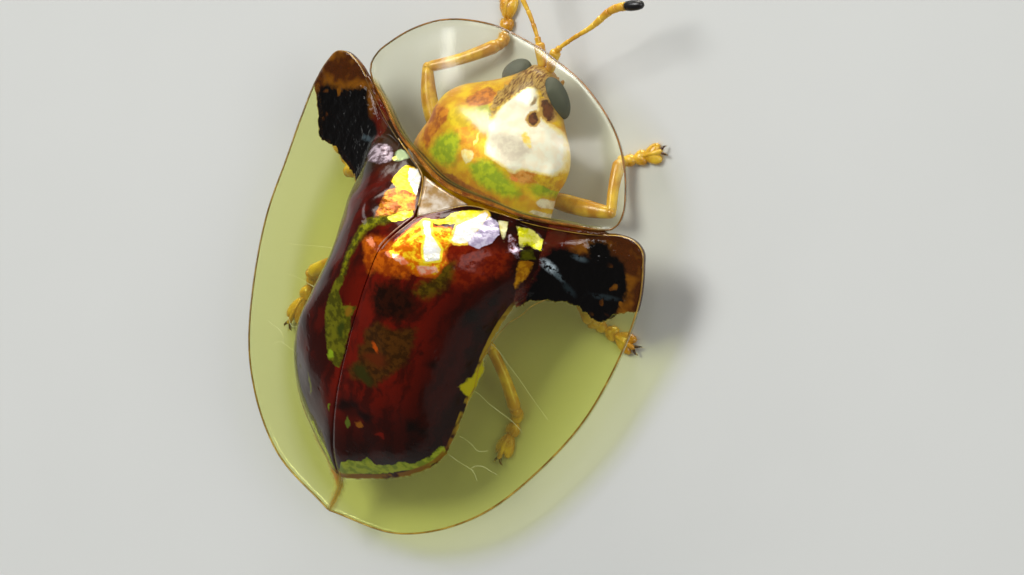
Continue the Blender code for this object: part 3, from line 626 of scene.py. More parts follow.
def wing_case_finish():
    """Glossy chitin over a maroon and gilded layer that ends at the disc; outside it is clear.

    The eye gets a wet gloss over deep colour, small flat patches of mirror gold, and a margin
    that shows the legs and the floor through a yellow-green tint.
    """
    shades = colours()
    f = Finish("wing_case_clear_chitin", IOR=CHITIN_IOR, Specular_IOR_Level=0.13)
    stirred = f.warped()
    share = f.attribute("disc_share")
    side = f.math("ABSOLUTE", f.x)

    # Long streaks of red in a brown that darkens in clouds and towards the flanks
    along_body = put(
        f.tree, "ShaderNodeMapping", {"Vector": stirred, "Scale": (2.2, 0.50, 1.0)}
    ).outputs[0]
    streaks = f.step(f.grain(0.7, 3.0, place=along_body), 0.40, 0.60)
    clouds = f.step(f.grain(1.0, 2.0), 0.54, 0.70)
    colour = f.mix(streaks, "#3c0a02", shades.maroon)
    colour = f.mix(clouds, colour, shades.maroon_deep)
    # Painted shade darkens the left wing case, and on its flank a painted olive reflection lies
    # over the dark
    left = f.step(f.x, 0.0, -0.6)
    colour = f.mix(f.math("MULTIPLY", left, 0.55), colour, "#240702")
    flank = f.step(f.math("MULTIPLY_ADD", streaks, 0.08, share), 0.66, 0.95)
    flank = f.math("MULTIPLY", flank, f.blend_value(left, 0.80, 0.70))
    colour = f.mix(flank, colour, f.mix(left, "#120903", "#26200a"))
    colour, metal = f.lay(WING_CASE_PATCHES, colour, 0.0)
    colour, metal = f.paint(WING_CASE_OVALS, stirred, colour, metal)

    # Behind the hump the disc ends in an amber hem
    hem = f.math("MULTIPLY", f.step(share, 0.978, 0.984), f.step(f.y, 0.9, 0.3))
    hem = f.math("MULTIPLY", hem, f.step(f.grain(0.5, 2.0), 0.34, 0.46))
    colour = f.mix(
        f.math("MULTIPLY", hem, 0.85), colour, f.mix(f.step(f.y, -3.0, -2.4), "#8a5c10", "#a8881e")
    )
    torn = f.math("MULTIPLY_ADD", f.grain(0.18, 3.0, 0.6), 0.02, share)
    outside = f.step(torn, 1.006, 1.016)
    corner = f.math("MULTIPLY", f.step(f.y, 1.2, 1.5), f.step(side, 3.0, 2.9))
    outside = f.math("MULTIPLY", outside, f.math("SUBTRACT", 1.0, corner))

    # The shoulder patch runs from the disc to the rim and is black only in its middle
    tear = f.math("MULTIPLY_ADD", f.grain(0.14, 3.0, 0.6), 0.16, -0.08)
    black = f.step(f.math("ADD", f.attribute("shoulder"), tear), -0.015, 0.015)
    core = f.step(
        f.math("ADD", f.attribute("shoulder_core"), f.math("MULTIPLY", tear, 1.4)), -0.10, 0.06
    )
    windows = f.math("MULTIPLY", f.step(f.grain(0.30, 1.0), 0.60, 0.68), f.step(side, 4.1, 4.5))
    core = f.math("MULTIPLY", core, f.math("SUBTRACT", 1.0, windows))
    brown = f.mix(f.step(f.grain(0.5, 2.0), 0.42, 0.62), "#4a2404", "#84500a")
    brown = f.mix(f.step(side, 3.5, 2.9), brown, "#5a1203")
    patch = f.mix(core, brown, shades.shoulder)
    # Painted highlights on the black shoulders, broken up by noise
    glint = f.step(f.grain(0.12, 3.0, 0.6), 0.38, 0.56)
    patch, _ = f.paint(SHOULDER_GLEAM, f.place, patch, 0.0, glint)
    colour = f.mix(black, colour, patch)
    metal = f.math("MULTIPLY", metal, f.math("SUBTRACT", 1.0, f.math("MAXIMUM", black, outside)))

    # Behind the disc the seam is stained amber, and one yellow fleck lies on the right flank
    stain = f.step(f.math("ADD", f.attribute("seam_stain"), tear), -0.10, 0.14)
    fleck = f.step(f.math("MULTIPLY_ADD", tear, 0.5, f.attribute("fleck")), -0.02, 0.02)
    colour = f.mix(outside, colour, f.mix(black, "#b9b244", patch))
    colour = f.mix(f.math("MULTIPLY", stain, outside), colour, "#b4640c")
    colour = f.mix(fleck, colour, "#b8ac08")
    clear = f.math("MULTIPLY", outside, f.math("SUBTRACT", 1.0, black))
    clear = f.math("MULTIPLY", clear, f.math("SUBTRACT", 1.0, fleck))
    haze = f.math("MULTIPLY_ADD", stain, 0.80, 0.03)
    thin = f.math(
        "SUBTRACT", 1.0, f.math("MULTIPLY", black, f.math("MULTIPLY_ADD", core, -0.22, 0.24))
    )
    solid = f.blend_value(clear, thin, haze)
    tint = f.mix(f.math("MULTIPLY", black, outside), shades.margin, "#c07820")
    f.link("Base Color", colour)
    f.link("Metallic", metal)
    f.link("Roughness", f.blend_value(metal, 0.12, 0.40))

    low = f.bump(f.grain(0.55, 2.0), 0.04, 0.4)
    lumpy = f.bump(f.grain(0.24, 2.0), 0.07, f.math("MULTIPLY", black, outside), low)
    pitted = f.bump(
        f.pits(0.34, 0.24), 0.005, f.math("MULTIPLY", f.math("SUBTRACT", 1.0, clear), 0.6), lumpy
    )
    crumpled = f.bump(f.grain(0.16, 2.0), 0.03, f.math("MULTIPLY", metal, 1.2), pitted)
    f.link("Normal", f.bump(f.grain(0.07, 2.0), 0.0015, 0.6, crumpled))
    f.glaze(solid, tint, 0.08)
    return f.material


# Patches on the gilded skin under the shield and on the head, drawn in the same way
SKIN_PATCHES = {
    "bronze": ("#a8600e", "#c47c18", 0.30, 0.03, 0.03, None, (
        ((-0.63, 2.45), (-0.17, 2.54), (0.31, 2.53), (0.88, 2.59), (1.28, 2.60), (1.20, 2.46),
         (0.69, 2.28), (0.11, 2.18), (-0.37, 2.23)),
    )),
    "red_gold": ("#d84808", "#f07018", 0.30, 0.02, 0.02, None, (
        ((0.14, 2.27), (0.48, 2.47), (0.78, 2.53), (0.67, 2.37), (0.34, 2.25)),
    )),
    "left_amber": ("#dc8e04", "#f2b60a", 0.25, 0.03, 0.04, None, (
        ((-2.10, 3.30), (-1.92, 3.09), (-1.50, 2.90), (-1.38, 2.58), (-1.08, 2.47), (-1.50, 2.30),
         (-2.10, 2.60)),
    )),
    "left_brown": ("#b45a02", "#de8a04", 0.25, 0.04, 0.05, None, (
        ((-1.79, 3.58), (-1.38, 3.73), (-1.14, 3.69), (-1.09, 3.50), (-1.12, 3.28), (-1.24, 3.01),
         (-1.21, 2.72), (-1.39, 2.68), (-1.60, 2.85), (-1.75, 3.17), (-1.83, 3.39)),
    )),
    "left_yellow": ("#d8b402", "#f0d00c", 0.25, 0.03, 0.03, None, (
        ((-1.19, 3.72), (-1.04, 3.97), (-0.73, 4.03), (-0.48, 3.89), (-0.41, 3.69), (-0.61, 3.55),
         (-0.92, 3.49), (-1.13, 3.54)),
    )),
    "middle_amber": ("#e09004", "#f6b414", 0.25, 0.03, 0.03, None, (
        ((-0.61, 3.55), (-0.41, 3.69), (-0.14, 3.75), (0.20, 3.51), (0.34, 3.22), (0.10, 2.99),
         (-0.24, 3.12), (-0.49, 3.30)),
    )),
    "middle_pale": ("#ffe090", "#fff0c0", 0.30, 0.02, 0.02, None, (
        ((-0.28, 3.14), (-0.14, 3.27), (0.03, 3.26), (0.13, 3.11), (0.00, 2.94), (-0.19, 2.99)),
    )),
    "moss_dark": ("#a4a406", "#c4c010", 0.20, 0.03, 0.03, None, (
        ((-0.73, 4.08), (-0.45, 4.30), (-0.16, 4.12), (-0.20, 3.99), (-0.37, 3.84)),
    )),
    "moss": ("#9cb402", "#c6d40a", 0.25, 0.05, 0.11, None, (
        ((-1.15, 2.69), (-1.06, 3.10), (-0.76, 3.39), (-0.49, 3.40), (-0.36, 3.10), (-0.28, 2.79),
         (-0.53, 2.60), (-0.90, 2.56)),
        ((0.08, 2.92), (0.27, 3.21), (0.56, 3.32), (1.02, 3.19), (1.52, 3.02), (1.42, 2.80),
         (0.80, 2.68), (0.38, 2.72)),
        ((1.53, 3.21), (1.75, 3.44), (1.94, 3.54), (1.99, 3.27), (1.77, 3.09)),
    )),
    "right_orange": ("#dc8418", "#f6ae58", 0.35, 0.05, 0.05, None, (
        ((1.05, 3.40), (1.46, 3.70), (1.70, 3.68), (1.75, 3.44), (1.42, 3.19), (1.12, 3.18)),
    )),
    "right_gold": ("#dca004", "#f4c810", 0.30, 0.02, 0.02, None, (
        ((1.54, 3.42), (1.64, 3.75), (1.68, 4.02), (1.83, 3.85), (2.01, 3.56), (2.05, 3.26),
         (1.91, 3.33)),
    )),
    "right_pale": ("#e8d4b4", "#fff2d8", 0.35, 0.01, 0.015, None, (
        ((1.80, 2.95), (1.84, 3.10), (1.98, 3.08), (1.99, 2.92), (1.89, 2.87)),
        ((1.78, 2.68), (1.83, 2.78), (2.02, 2.80), (2.02, 2.69)),
    )),
    "cheek": ("#9a500a", "#c8740e", 0.20, 0.04, 0.04, None, (
        ((-1.02, 4.31), (-0.90, 4.56), (-0.55, 4.57), (-0.43, 4.33), (-0.60, 4.15), (-0.91, 3.98),
         (-1.10, 4.11)),
    )),
    # Painted highlight: white on the gilding with a pale gold fringe
    "silver": ("#fff2ee", "#fffcff", 0.25, 0.02, 0.03, "#ffe9a8", (
        ((-0.04, 4.77), (0.03, 4.97), (0.22, 5.11), (0.39, 4.93), (0.62, 4.65), (0.88, 4.56),
         (1.04, 4.53), (1.30, 4.47), (1.56, 4.30), (1.78, 4.02), (1.84, 3.88), (1.80, 3.68),
         (1.21, 3.52), (1.15, 3.36), (0.71, 3.40), (0.34, 3.40), (0.18, 3.71), (-0.01, 3.94),
         (-0.13, 4.25), (-0.14, 4.51)),
    )),
    # Painted reflection: pale grey-pink inside the painted highlight
    "grey_brow": ("#dccfd0", "#ece2e2", 0.25, 0.04, 0.09, None, (
        ((0.22, 3.62), (0.20, 3.82), (0.59, 4.05), (0.95, 4.16), (1.16, 3.95), (1.16, 3.62),
         (0.82, 3.42), (0.45, 3.42)),
    )),
    "yellow_brow": ("#ffd258", "#ffe898", 0.25, 0.02, 0.02, None, (
        ((0.68, 4.17), (0.74, 4.23), (0.99, 4.13), (1.17, 3.96), (1.06, 3.95), (0.87, 4.03)),
    )),
    "brow_spots": ("#4a1c06", "#6e3410", 0.10, 0.03, 0.02, "#c89a50", (
        ((0.50, 4.56), (0.57, 4.66), (0.70, 4.60), (0.80, 4.47), (0.76, 4.39), (0.59, 4.42)),
        ((0.49, 4.94), (0.59, 5.02), (0.80, 4.86), (0.96, 4.67), (0.93, 4.61), (0.70, 4.71)),
    )),
}
BROW_DOWN = (
    (-0.45, 5.34), (-0.41, 5.08), (-0.52, 4.70), (-0.55, 4.57), (-0.43, 4.33), (-0.18, 4.06),
    (-0.09, 4.14),
    (-0.21, 4.32), (-0.17, 4.54), (-0.08, 4.78), (0.02, 4.99), (0.18, 5.13), (0.35, 5.12),
    (0.46, 4.97), (0.60, 5.10),
    (0.50, 5.60), (-0.30, 5.60),
)
SKIN_OVALS = (
    ((-0.05, 3.55), (0.022, 0.19), 12, "#fff27a", 0.30, 0.30),
    ((0.10, 5.28), (0.10, 0.07), 0, "#e8dcc8", 0.20, 0.45),
    ((0.38, 4.86), (0.05, 0.12), 20, "#a08468", 0.10, 0.50),
    ((1.40, 3.30), (0.10, 0.07), 0, "#ffb45a", 0.35, 0.40),
    ((1.22, 3.22), (0.08, 0.06), 0, "#ff9a48", 0.35, 0.40),
)


def shield_finish():
    """A clear film over head and gilded skin, with an amber lip and a dark line along its base."""
    shades = colours()
    f = Finish("shield_clear_chitin", Roughness=0.12, IOR=CHITIN_IOR)
    share = f.attribute("rim_share")
    lip, line = f.attribute("base_lip"), f.attribute("base_line")
    blotches = f.step(f.grain(0.40, 3.0, 0.6), 0.42, 0.60)
    colour = f.mix(lip, "#b5b04a", f.mix(blotches, "#7a3a06", "#c88418"))
    colour = f.mix(line, colour, "#2c0e02")
    solid = f.math("MAXIMUM", f.math("MULTIPLY", lip, 0.45), f.math("MULTIPLY", line, 0.9))
    solid = f.math("MAXIMUM", solid, f.math("MULTIPLY_ADD", f.step(share, 0.93, 1.0), 0.05, 0.01))
    tint = f.mix(lip, shades.shield, "#f4cc70")
    f.link("Base Color", colour)
    low = f.bump(f.grain(0.7, 2.0), 0.05, 0.5)
    f.link("Normal", f.bump(f.grain(0.06, 2.0), 0.0015, 0.6, low))
    f.glaze(solid, tint, 0.20)
    return f.material


def plain_chitin(name, shade, dark, rough=0.28, metal=0.0, size_mm=0.35, **sockets):
    """Solid glossy chitin with a slow drift of colour and a fine leathery grain."""
    f = Finish(name, Roughness=rough, IOR=1.55, Metallic=metal, **sockets)
    drift = f.step(f.grain(size_mm, 3.0), 0.35, 0.70)
    f.link("Base Color", f.mix(drift, dark, shade))
    f.link("Normal", f.bump(f.grain(0.05, 2.0), 0.003, 0.7))
    return f


def skin_finish():
    """Amber underside, gilded back and head: pale metal with brown spots, and a painted white
    highlight on the gilding.
    """
    f = Finish("gilded_skin", IOR=CHITIN_IOR, Specular_IOR_Level=0.3)
    stirred = f.warped(0.40, 0.12, 0.09, 0.05)
    colour = f.mix(f.step(f.grain(0.7, 3.0), 0.35, 0.7), "#a8701a", "#d8a832")
    back = f.math("MULTIPLY", f.step(f.y, 1.6, 2.0), f.step(f.z, 1.05, 1.3))
    golden = f.mix(f.step(f.grain(0.34, 3.0), 0.35, 0.65), "#dc9804", "#f0c608")
    colour = f.mix(back, colour, golden)
    metal = f.math("MULTIPLY", back, 0.25)
    colour, metal = f.lay(SKIN_PATCHES, colour, metal, back)
    colour, metal = f.paint(SKIN_OVALS, stirred, colour, metal, back)

    # Down on the left of the brow: short brown strokes broken by pale ones
    sockets = {"Vector": f.place, "Rotation": (0, 0, 0.5), "Scale": (2.6, 0.9, 1.0)}
    strokes = put(f.tree, "ShaderNodeMapping", sockets).outputs[0]
    strokes = f.step(f.grain(0.12, 3.0, 0.7, strokes), 0.38, 0.60)
    down = f.math(
        "ADD", f.attribute("down"), f.math("MULTIPLY_ADD", f.grain(0.10, 3.0, 0.7), 0.30, -0.15)
    )
    down = f.math("MULTIPLY", f.step(down, -0.04, 0.05), back)
    face = f.math("MAXIMUM", down, f.math("MULTIPLY", f.step(f.y, 5.02, 5.16), back))
    brow = f.math("MULTIPLY", face, f.step(f.attribute("silver"), 0.02, -0.02))
    colour = f.mix(brow, colour, f.mix(strokes, colours().brown, "#c09a58"))
    metal = f.math("MULTIPLY", metal, f.math("SUBTRACT", 1.0, brow))
    under = f.step(f.z, 1.10, 0.95)
    colour = f.mix(f.math("MULTIPLY", under, 0.6), colour, "#946a1c")
    metal = f.blend_value(under, metal, 0.0)
    f.link("Base Color", colour)
    f.link("Metallic", metal)
    f.link("Roughness", f.blend_value(metal, 0.34, 0.42))
    low = f.bump(f.grain(0.18, 3.0), 0.010, 0.5)
    f.link("Normal", f.bump(f.grain(0.05, 2.0), 0.004, 0.7, low))
    return f.material


# Finishes of plain chitin: colour, the darker colour it drifts to, roughness, share of metal, how
# far apart the drift's clouds lie in mm, the weight of the wet coat and the strength of the gloss
PLAIN_FINISHES = {
    # Thick clear edge of the shield: a fine amber line with a wet gleam
    "amber_rim": ("rim", "#5c3a04", 0.18, 0.0, 0.35, 0.5, 0.5),
    # Thick clear edge of the wing cases: a paler honey line
    "honey_rim": ("honey", "#8a6414", 0.18, 0.0, 0.35, 0.5, 0.5),
    # Rolled edges where the wing cases meet: two brown threads with a highlight
    "brown_seam": ("#a87458", "#7c4026", 0.16, 0.0, 0.35, 0.5, 0.5),
    # Veins in the margin: hair-fine pale lines
    "pale_vein": ("#d9dc9a", "#b9bd70", 0.3, 0.0, 0.35, 0.0, 0.5),
    # Scutellum: a small cushion with the cream gleam of mother-of-pearl
    "scutellum_gold": ("#eadcc8", "#b08a50", 0.18, 0.30, 0.25, 0.4, 0.5),
    # Legs and feelers: honey-coloured horn, darker in slow clouds
    "amber_chitin": ("amber", "#c98a14", 0.26, 0.0, 0.4, 0.3, 0.5),
    # Last joint of each feeler: dull black
    "feeler_tip_black": ("#120b06", "#060403", 0.32, 0.0, 0.35, 0.0, 0.5),
    # Hairs of the soles: pale straw
    "foot_hair": ("#f0d890", "#d4ac50", 0.4, 0.0, 0.35, 0.0, 0.5),
    # Raised hem of the disc: a dull gold line
    "golden_edge": ("#c8a024", "#8a6208", 0.3, 0.0, 0.35, 0.0, 0.5),
    # Eyes: near black with a faint grey gleam on every lens
    "eye_facets": ("eye", "#040505", 0.26, 0.0, 0.12, 0.06, 0.2),
    # Claws: brown horn
    "claw": ("#5a2c0a", "#2c1404", 0.25, 0.0, 0.35, 0.0, 0.5),
}


def finish_named(name):
    """Materials by name, each made once."""
    made = bpy.data.materials.get(name)
    if made:
        return made
    if name == "wing_case_clear_chitin":
        return wing_case_finish()
    if name == "shield_clear_chitin":
        return shield_finish()
    if name == "gilded_skin":
        return skin_finish()
    shade, dark, rough, metal, size_mm, coat, gloss = PLAIN_FINISHES[name]
    shade = shade if shade[0] == "#" else getattr(colours(), shade)
    sockets = {"Coat_Weight": coat, "Specular_IOR_Level": gloss}
    return plain_chitin(name, shade, dark, rough, metal, size_mm, **sockets).material


class Solid:
    """Collects closed pieces of mesh in mm and turns them into one object in metres."""

    def __init__(self):
        self.points, self.faces, self.slots = [], [], []

    def add(self, points, faces, slot=0):
        base = len(self.points)
        self.points += [tuple(p) for p in points]
        self.faces += [tuple(base + k for k in face) for face in faces]
        self.slots += [slot] * len(faces)

    def tube(self, path, radii, sides=16, slot=0, flat=1.0):
        """A closed tube along a path; flat scales it across the vertical."""
        path = [Vector(p) for p in path]
        rows, faces = [], []
        points = []
        for n, here in enumerate(path):
            ahead = path[min(n + 1, len(path) - 1)] - path[max(n - 1, 0)]
            axis = ahead.normalized()
            across = axis.cross(Vector((0, 0, 1)))
            across = across.normalized() if across.length > 1e-4 else Vector((1, 0, 0))
            rise = across.cross(axis).normalized()
            row = []
            for k in range(sides):
                a = 2 * math.pi * k / sides
                row.append(len(points))
                points.append(
                    here + across * math.cos(a) * radii[n] + rise * math.sin(a) * radii[n] * flat
                )
            rows.append(row)
        for a, b in zip(rows, rows[1:]):
            for j in range(sides):
                k = (j + 1) % sides
                faces.append((a[j], a[k], b[k], b[j]))
        for row, point, way in ((rows[0], path[0], -1), (rows[-1], path[-1], 1)):
            near = path[1] if way < 0 else path[-2]
            axis = (point - near).normalized()
            reach = radii[0] if way < 0 else radii[-1]
            tip = len(points)
            points.append(point + axis * reach * 0.5)
            for j in range(sides):
                k = (j + 1) % sides
                faces.append((row[j], tip, row[k]) if way > 0 else (row[k], tip, row[j]))
        faces = [tuple(reversed(face)) if len(face) == 3 else face for face in faces]
        self.add(points, faces, slot)

    def blob(self, centre, size, turn=None, slot=0, sides=20, rows=12, floor=None, shape=None):
        """A closed oval; shape may move each unit point before it is scaled and placed."""
        turn = turn or Matrix.Identity(3)
        points, faces = [], []
        for i in range(1, rows):
            t = math.pi * i / rows
            for k in range(sides):
                a = 2 * math.pi * k / sides
                points.append((math.sin(t) * math.cos(a), math.sin(t) * math.sin(a), math.cos(t)))
        points += [(0, 0, 1), (0, 0, -1)]
        top, foot = len(points) - 2, len(points) - 1
        for i in range(rows - 2):
            for k in range(sides):
                m = (k + 1) % sides
                faces.append(
                    (i * sides + k, (i + 1) * sides + k, (i + 1) * sides + m, i * sides + m)
                )
        for k in range(sides):
            m = (k + 1) % sides
            faces.append((top, k, m))
            faces.append((foot, (rows - 2) * sides + m, (rows - 2) * sides + k))
        placed = []
        for p in points:
            p = shape(p) if shape else p
            q = turn @ Vector((p[0] * size[0], p[1] * size[1], p[2] * size[2])) + Vector(centre)
            if floor is not None:
                q.z = max(q.z, floor)
            placed.append(q)
        self.add(placed, faces, slot)

    def build(self, name, finishes):
        points = (np.array(self.points, float) + np.array([0, MIDDLE_Y, 0])) * MM
        mesh = bpy.data.meshes.new(name)
        mesh.from_pydata(points.tolist(), [], self.faces)
        mesh.shade_smooth()
        for finish in finishes:
            mesh.materials.append(finish_named(finish))
        mesh.polygons.foreach_set("material_index", np.array(self.slots, np.int32))
        made = bpy.data.objects.new(name, mesh)
        bpy.context.scene.collection.objects.link(made)
        return made


def settle(piece, slot, *nodes):
    """Rides the piece on the beetle and lets it stand for the solids; the slot is not used."""
    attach(piece, "root")
    if nodes:
        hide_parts(*nodes)
    return piece


def curve_through(keys, at):
    """Values at `at` of a smooth curve through the keys, whose first entry is the parameter."""
    keys = np.array(keys, float)
    t, v = keys[:, 0], keys[:, 1:]
    slope = np.gradient(v, t, axis=0)
    at = np.clip(np.asarray(at, float), t[0], t[-1])
    i = np.clip(np.searchsorted(t, at, side="right") - 1, 0, len(t) - 2)
    h = (t[i + 1] - t[i])[..., None]
    s = ((at - t[i])[..., None]) / h
    return (
        (2 * s**3 - 3 * s**2 + 1) * v[i]
        + (s**3 - 2 * s**2 + s) * h * slope[i]
        + (-2 * s**3 + 3 * s**2) * v[i + 1]
        + (s**3 - s**2) * h * slope[i + 1]
    )


def along(points, count):
    """`count` evenly spaced points on a smooth curve through the given points."""
    points = np.array(points, float)
    steps = np.linalg.norm(np.diff(points, axis=0), axis=1)
    keys = np.column_stack([np.concatenate([[0], np.cumsum(steps)]), points])
    fine = curve_through(keys, np.linspace(0, keys[-1, 0], 12 * count))
    run = np.concatenate([[0], np.cumsum(np.linalg.norm(np.diff(fine, axis=0), axis=1))])
    at = np.linspace(0, run[-1], count)
    return np.column_stack([np.interp(at, run, fine[:, k]) for k in range(fine.shape[1])])


def disc_foot(x, y):
    degrees = np.degrees(np.arctan2(y - HUMP_Y, np.maximum(np.abs(x), 1e-6)))
    from_seam = degrees + 90
    degrees = from_seam * (1 - np.exp(-((from_seam / 3.0) ** 2))) - 90
    radius, foot = np.moveaxis(curve_through(DISC_FOOT, degrees), -1, 0)
    return degrees, radius, foot


def hump_height(x, y):
    degrees, radius, foot = disc_foot(x, y)
    power, shape = np.moveaxis(curve_through(HUMP_FALL, degrees), -1, 0)
    out = np.minimum(np.hypot(x, y - HUMP_Y) / radius, 1.0)
    return foot + (HUMP_TOP - foot) * (1 - out**power) ** shape


def relief(x, y):
    lift = np.zeros_like(x)
    for cx, cy, radius, height in WING_CASE_RELIEF:
        lift += height * np.exp(-((np.abs(x) - cx) ** 2 + (y - cy) ** 2) / radius**2)
    return lift


def ripple(x, y, size, height):
    """Gentle unevenness of grown chitin, about `size` mm from crest to crest."""
    flat = [noise.noise(Vector((a / size, b / size, 3.7))) for a, b in zip(x.ravel(), y.ravel())]
    return height * np.array(flat).reshape(x.shape)


def soften(z, rounds):
    """Rounds the crease at the foot of the disc along each ray, leaving both ends in place."""
    for _ in range(rounds):
        z[1:-1] = 0.25 * z[:-2] + 0.5 * z[1:-1] + 0.25 * z[2:]
    return z


def grid_piece(name, grid, closed, finish, attributes):
    """A sheet over rays from one hub: grid is (rings, rays, 3) in mm, ring 0 the hub."""
    rings, rays = grid.shape[:2]
    points = np.concatenate([grid[0, :1], grid[1:].reshape(-1, 3)])
    faces = []
    last = rays if closed else rays - 1
    for j in range(last):
        k = (j + 1) % rays
        faces.append((0, 1 + j, 1 + k))
        for i in range(rings - 2):
            a, b = 1 + i * rays, 1 + (i + 1) * rays
            faces.append((a + j, b + j, b + k, a + k))
    solid = Solid()
    solid.add(points, faces)
    made = solid.build(name, [finish])
    mesh = made.data
    if sum(p.normal.z * p.area for p in mesh.polygons) < 0:
        mesh.flip_normals()
    for label, values in attributes.items():
        flat = np.concatenate([values[0, :1], values[1:].ravel()])
        mesh.attributes.new(label, "FLOAT", "POINT").data.foreach_set(
            "value", flat.astype(np.float32)
        )
    return made


def inside_by(outline, x, y):
    """How deep in mm each point lies inside a closed outline; less than 0 outside it."""
    nearest = np.full(x.shape, 1e9)
    crossed = np.zeros(x.shape, int)
    for (ax, ay), (bx, by) in zip(outline, (*outline[1:], outline[0])):
        dx, dy = bx - ax, by - ay
        t = np.clip(((x - ax) * dx + (y - ay) * dy) / (dx * dx + dy * dy), 0, 1)
        nearest = np.minimum(nearest, np.hypot(x - ax - t * dx, y - ay - t * dy))
        if dy != 0:
            crossed += ((ay > y) != (by > y)) & (x < ax + dx * (y - ay) / dy)
    return np.where(crossed % 2, nearest, -nearest)


def mark_outlines(piece, patches):
    """Writes on every point of the piece how deep it lies in each patch."""
    flat = np.empty(3 * len(piece.data.vertices), np.float32)
    piece.data.vertices.foreach_get("co", flat)
    x, y, _ = (flat.reshape(-1, 3) / MM).astype(float).T
    y = y - MIDDLE_Y
    for name, outlines in patches.items():
        depth = np.max([inside_by(outline, x, y) for outline in outlines], axis=0)
        field = piece.data.attributes.new(name, "FLOAT", "POINT")
        field.data.foreach_set("value", depth.astype(np.float32))


def wing_case_edge(count_base, count_rim):
    base = along(WING_CASE_BASE, count_base)
    rim = along(WING_CASE_RIM, count_rim)
    edge = np.concatenate([base, rim[1:]])
    edge[:, 0] = np.maximum(edge[:, 0], SEAM_HALF_GAP)
    return edge


def wing_case_surface(edge, rings):
    """Right wing case as rays from the hump's middle to its edge, with the share of the disc."""
    hub = np.array([SEAM_HALF_GAP, HUMP_Y])
    t = np.linspace(0, 1, rings)[:, None]
    x = hub[0] + (edge[:, 0] - hub[0]) * t
    y = hub[1] + (edge[:, 1] - hub[1]) * t
    _, radius, foot = disc_foot(x, y)
    share = np.hypot(x, y - HUMP_Y) / radius
    end = share[-1:]
    inside = hump_height(x, y)
    beyond = np.clip((share - 1) / np.maximum(end - 1, 1e-6), 0, 1)
    margin = foot + (edge[:, 2] - foot[-1:]) * beyond + (foot[-1:] - foot) * beyond
    sag = -0.10 * np.sin(math.pi * beyond) * (end > 1.05)
    z = np.where(share <= 1, inside, margin + sag)
    z = soften(z, 10)
    calm = np.clip((1.25 - share) / 0.3, 0, 1) * np.clip((1 - t) / 0.06, 0, 1)
    z = z + (relief(x, y) + ripple(x, y, 0.55, 0.022)) * calm
    z = z + ripple(x, y, 0.9, 0.03) * (1 - calm) * np.clip((1 - t) / 0.1, 0, 1)
    return np.stack([x, y, z], axis=-1), share


def wall(piece, thickness):
    """Gives the sheet its thickness below its outer face."""
    solidify = piece.modifiers.new("Wall", "SOLIDIFY")
    solidify.thickness = thickness
    solidify.offset = -1
    return piece


def make_wing_case(name, node, side):
    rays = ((60, 150))
    grid, share = wing_case_surface(wing_case_edge(*rays), 84)
    grid = grid * np.array([side, 1, 1])
    piece = grid_piece(name, grid, False, "wing_case_clear_chitin", {"disc_share": share})
    mark_outlines(piece, {key: patch[-1] for key, patch in WING_CASE_PATCHES.items()})
    mark_outlines(
        piece,
        {
            "shoulder": SHOULDER_PATCH,
            "shoulder_core": SHOULDER_CORE,
            "seam_stain": (SEAM_STAIN,),
            "fleck": (SPECKLED_TRIANGLE,),
        },
    )
    wall(piece, sizes().shell_wall)
    return settle(piece, "wing_case_chitin", node)


def shield_outline(count_front, count_base):
    front = along(SHIELD_FRONT, count_front)
    x, y, z = SHIELD_BASE[-2]
    base = along((*SHIELD_BASE, (-x, y, z)), 2 * count_base)
    base = np.concatenate([base[base[:, 0] > 0.03], [SHIELD_BASE[-1]]])
    right = np.concatenate([front, base[1:]])
    left = right[-2:0:-1] * np.array([-1, 1, 1])
    return np.concatenate([right, left])


def make_shield(name, node):
    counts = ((90, 30))
    rings = 64
    outline = shield_outline(*counts)
    t = np.linspace(0, 1, rings)[:, None]
    x = outline[:, 0] * t
    y = SHIELD_Y + (outline[:, 1] - SHIELD_Y) * t
    power, shape = SHIELD_FALL
    z = outline[:, 2] + (SHIELD_TOP - outline[:, 2]) * (1 - t**power) ** shape
    z = z + ripple(x, y, 0.8, 0.03) * np.clip((1 - t) / 0.1, 0, 1)
    for side in (-1, 1):
        z = z - 0.07 * np.exp(-(((x - side * 1.1) / 0.5) ** 2) - ((y - 3.35) / 0.3) ** 2)
    grid = np.stack([x, y, z], axis=-1)
    lengths = np.linalg.norm(outline[:, :2] - np.array([0, SHIELD_Y]), axis=1)
    from_edge = (1 - t) * lengths
    is_base = np.clip((3.30 - outline[:, 1]) / 0.15, 0, 1) * np.ones_like(t)
    lip = is_base * np.clip((0.11 - from_edge) / 0.03, 0, 1)
    line = is_base * np.clip(1.4 - np.abs(from_edge - 0.125) / 0.028, 0, 1)
    marks = {"rim_share": t * np.ones(len(outline)), "base_lip": lip, "base_line": line}
    piece = grid_piece(name, grid, True, "shield_clear_chitin", marks)
    wall(piece, sizes().shell_wall)
    return settle(piece, "shield_chitin", node)


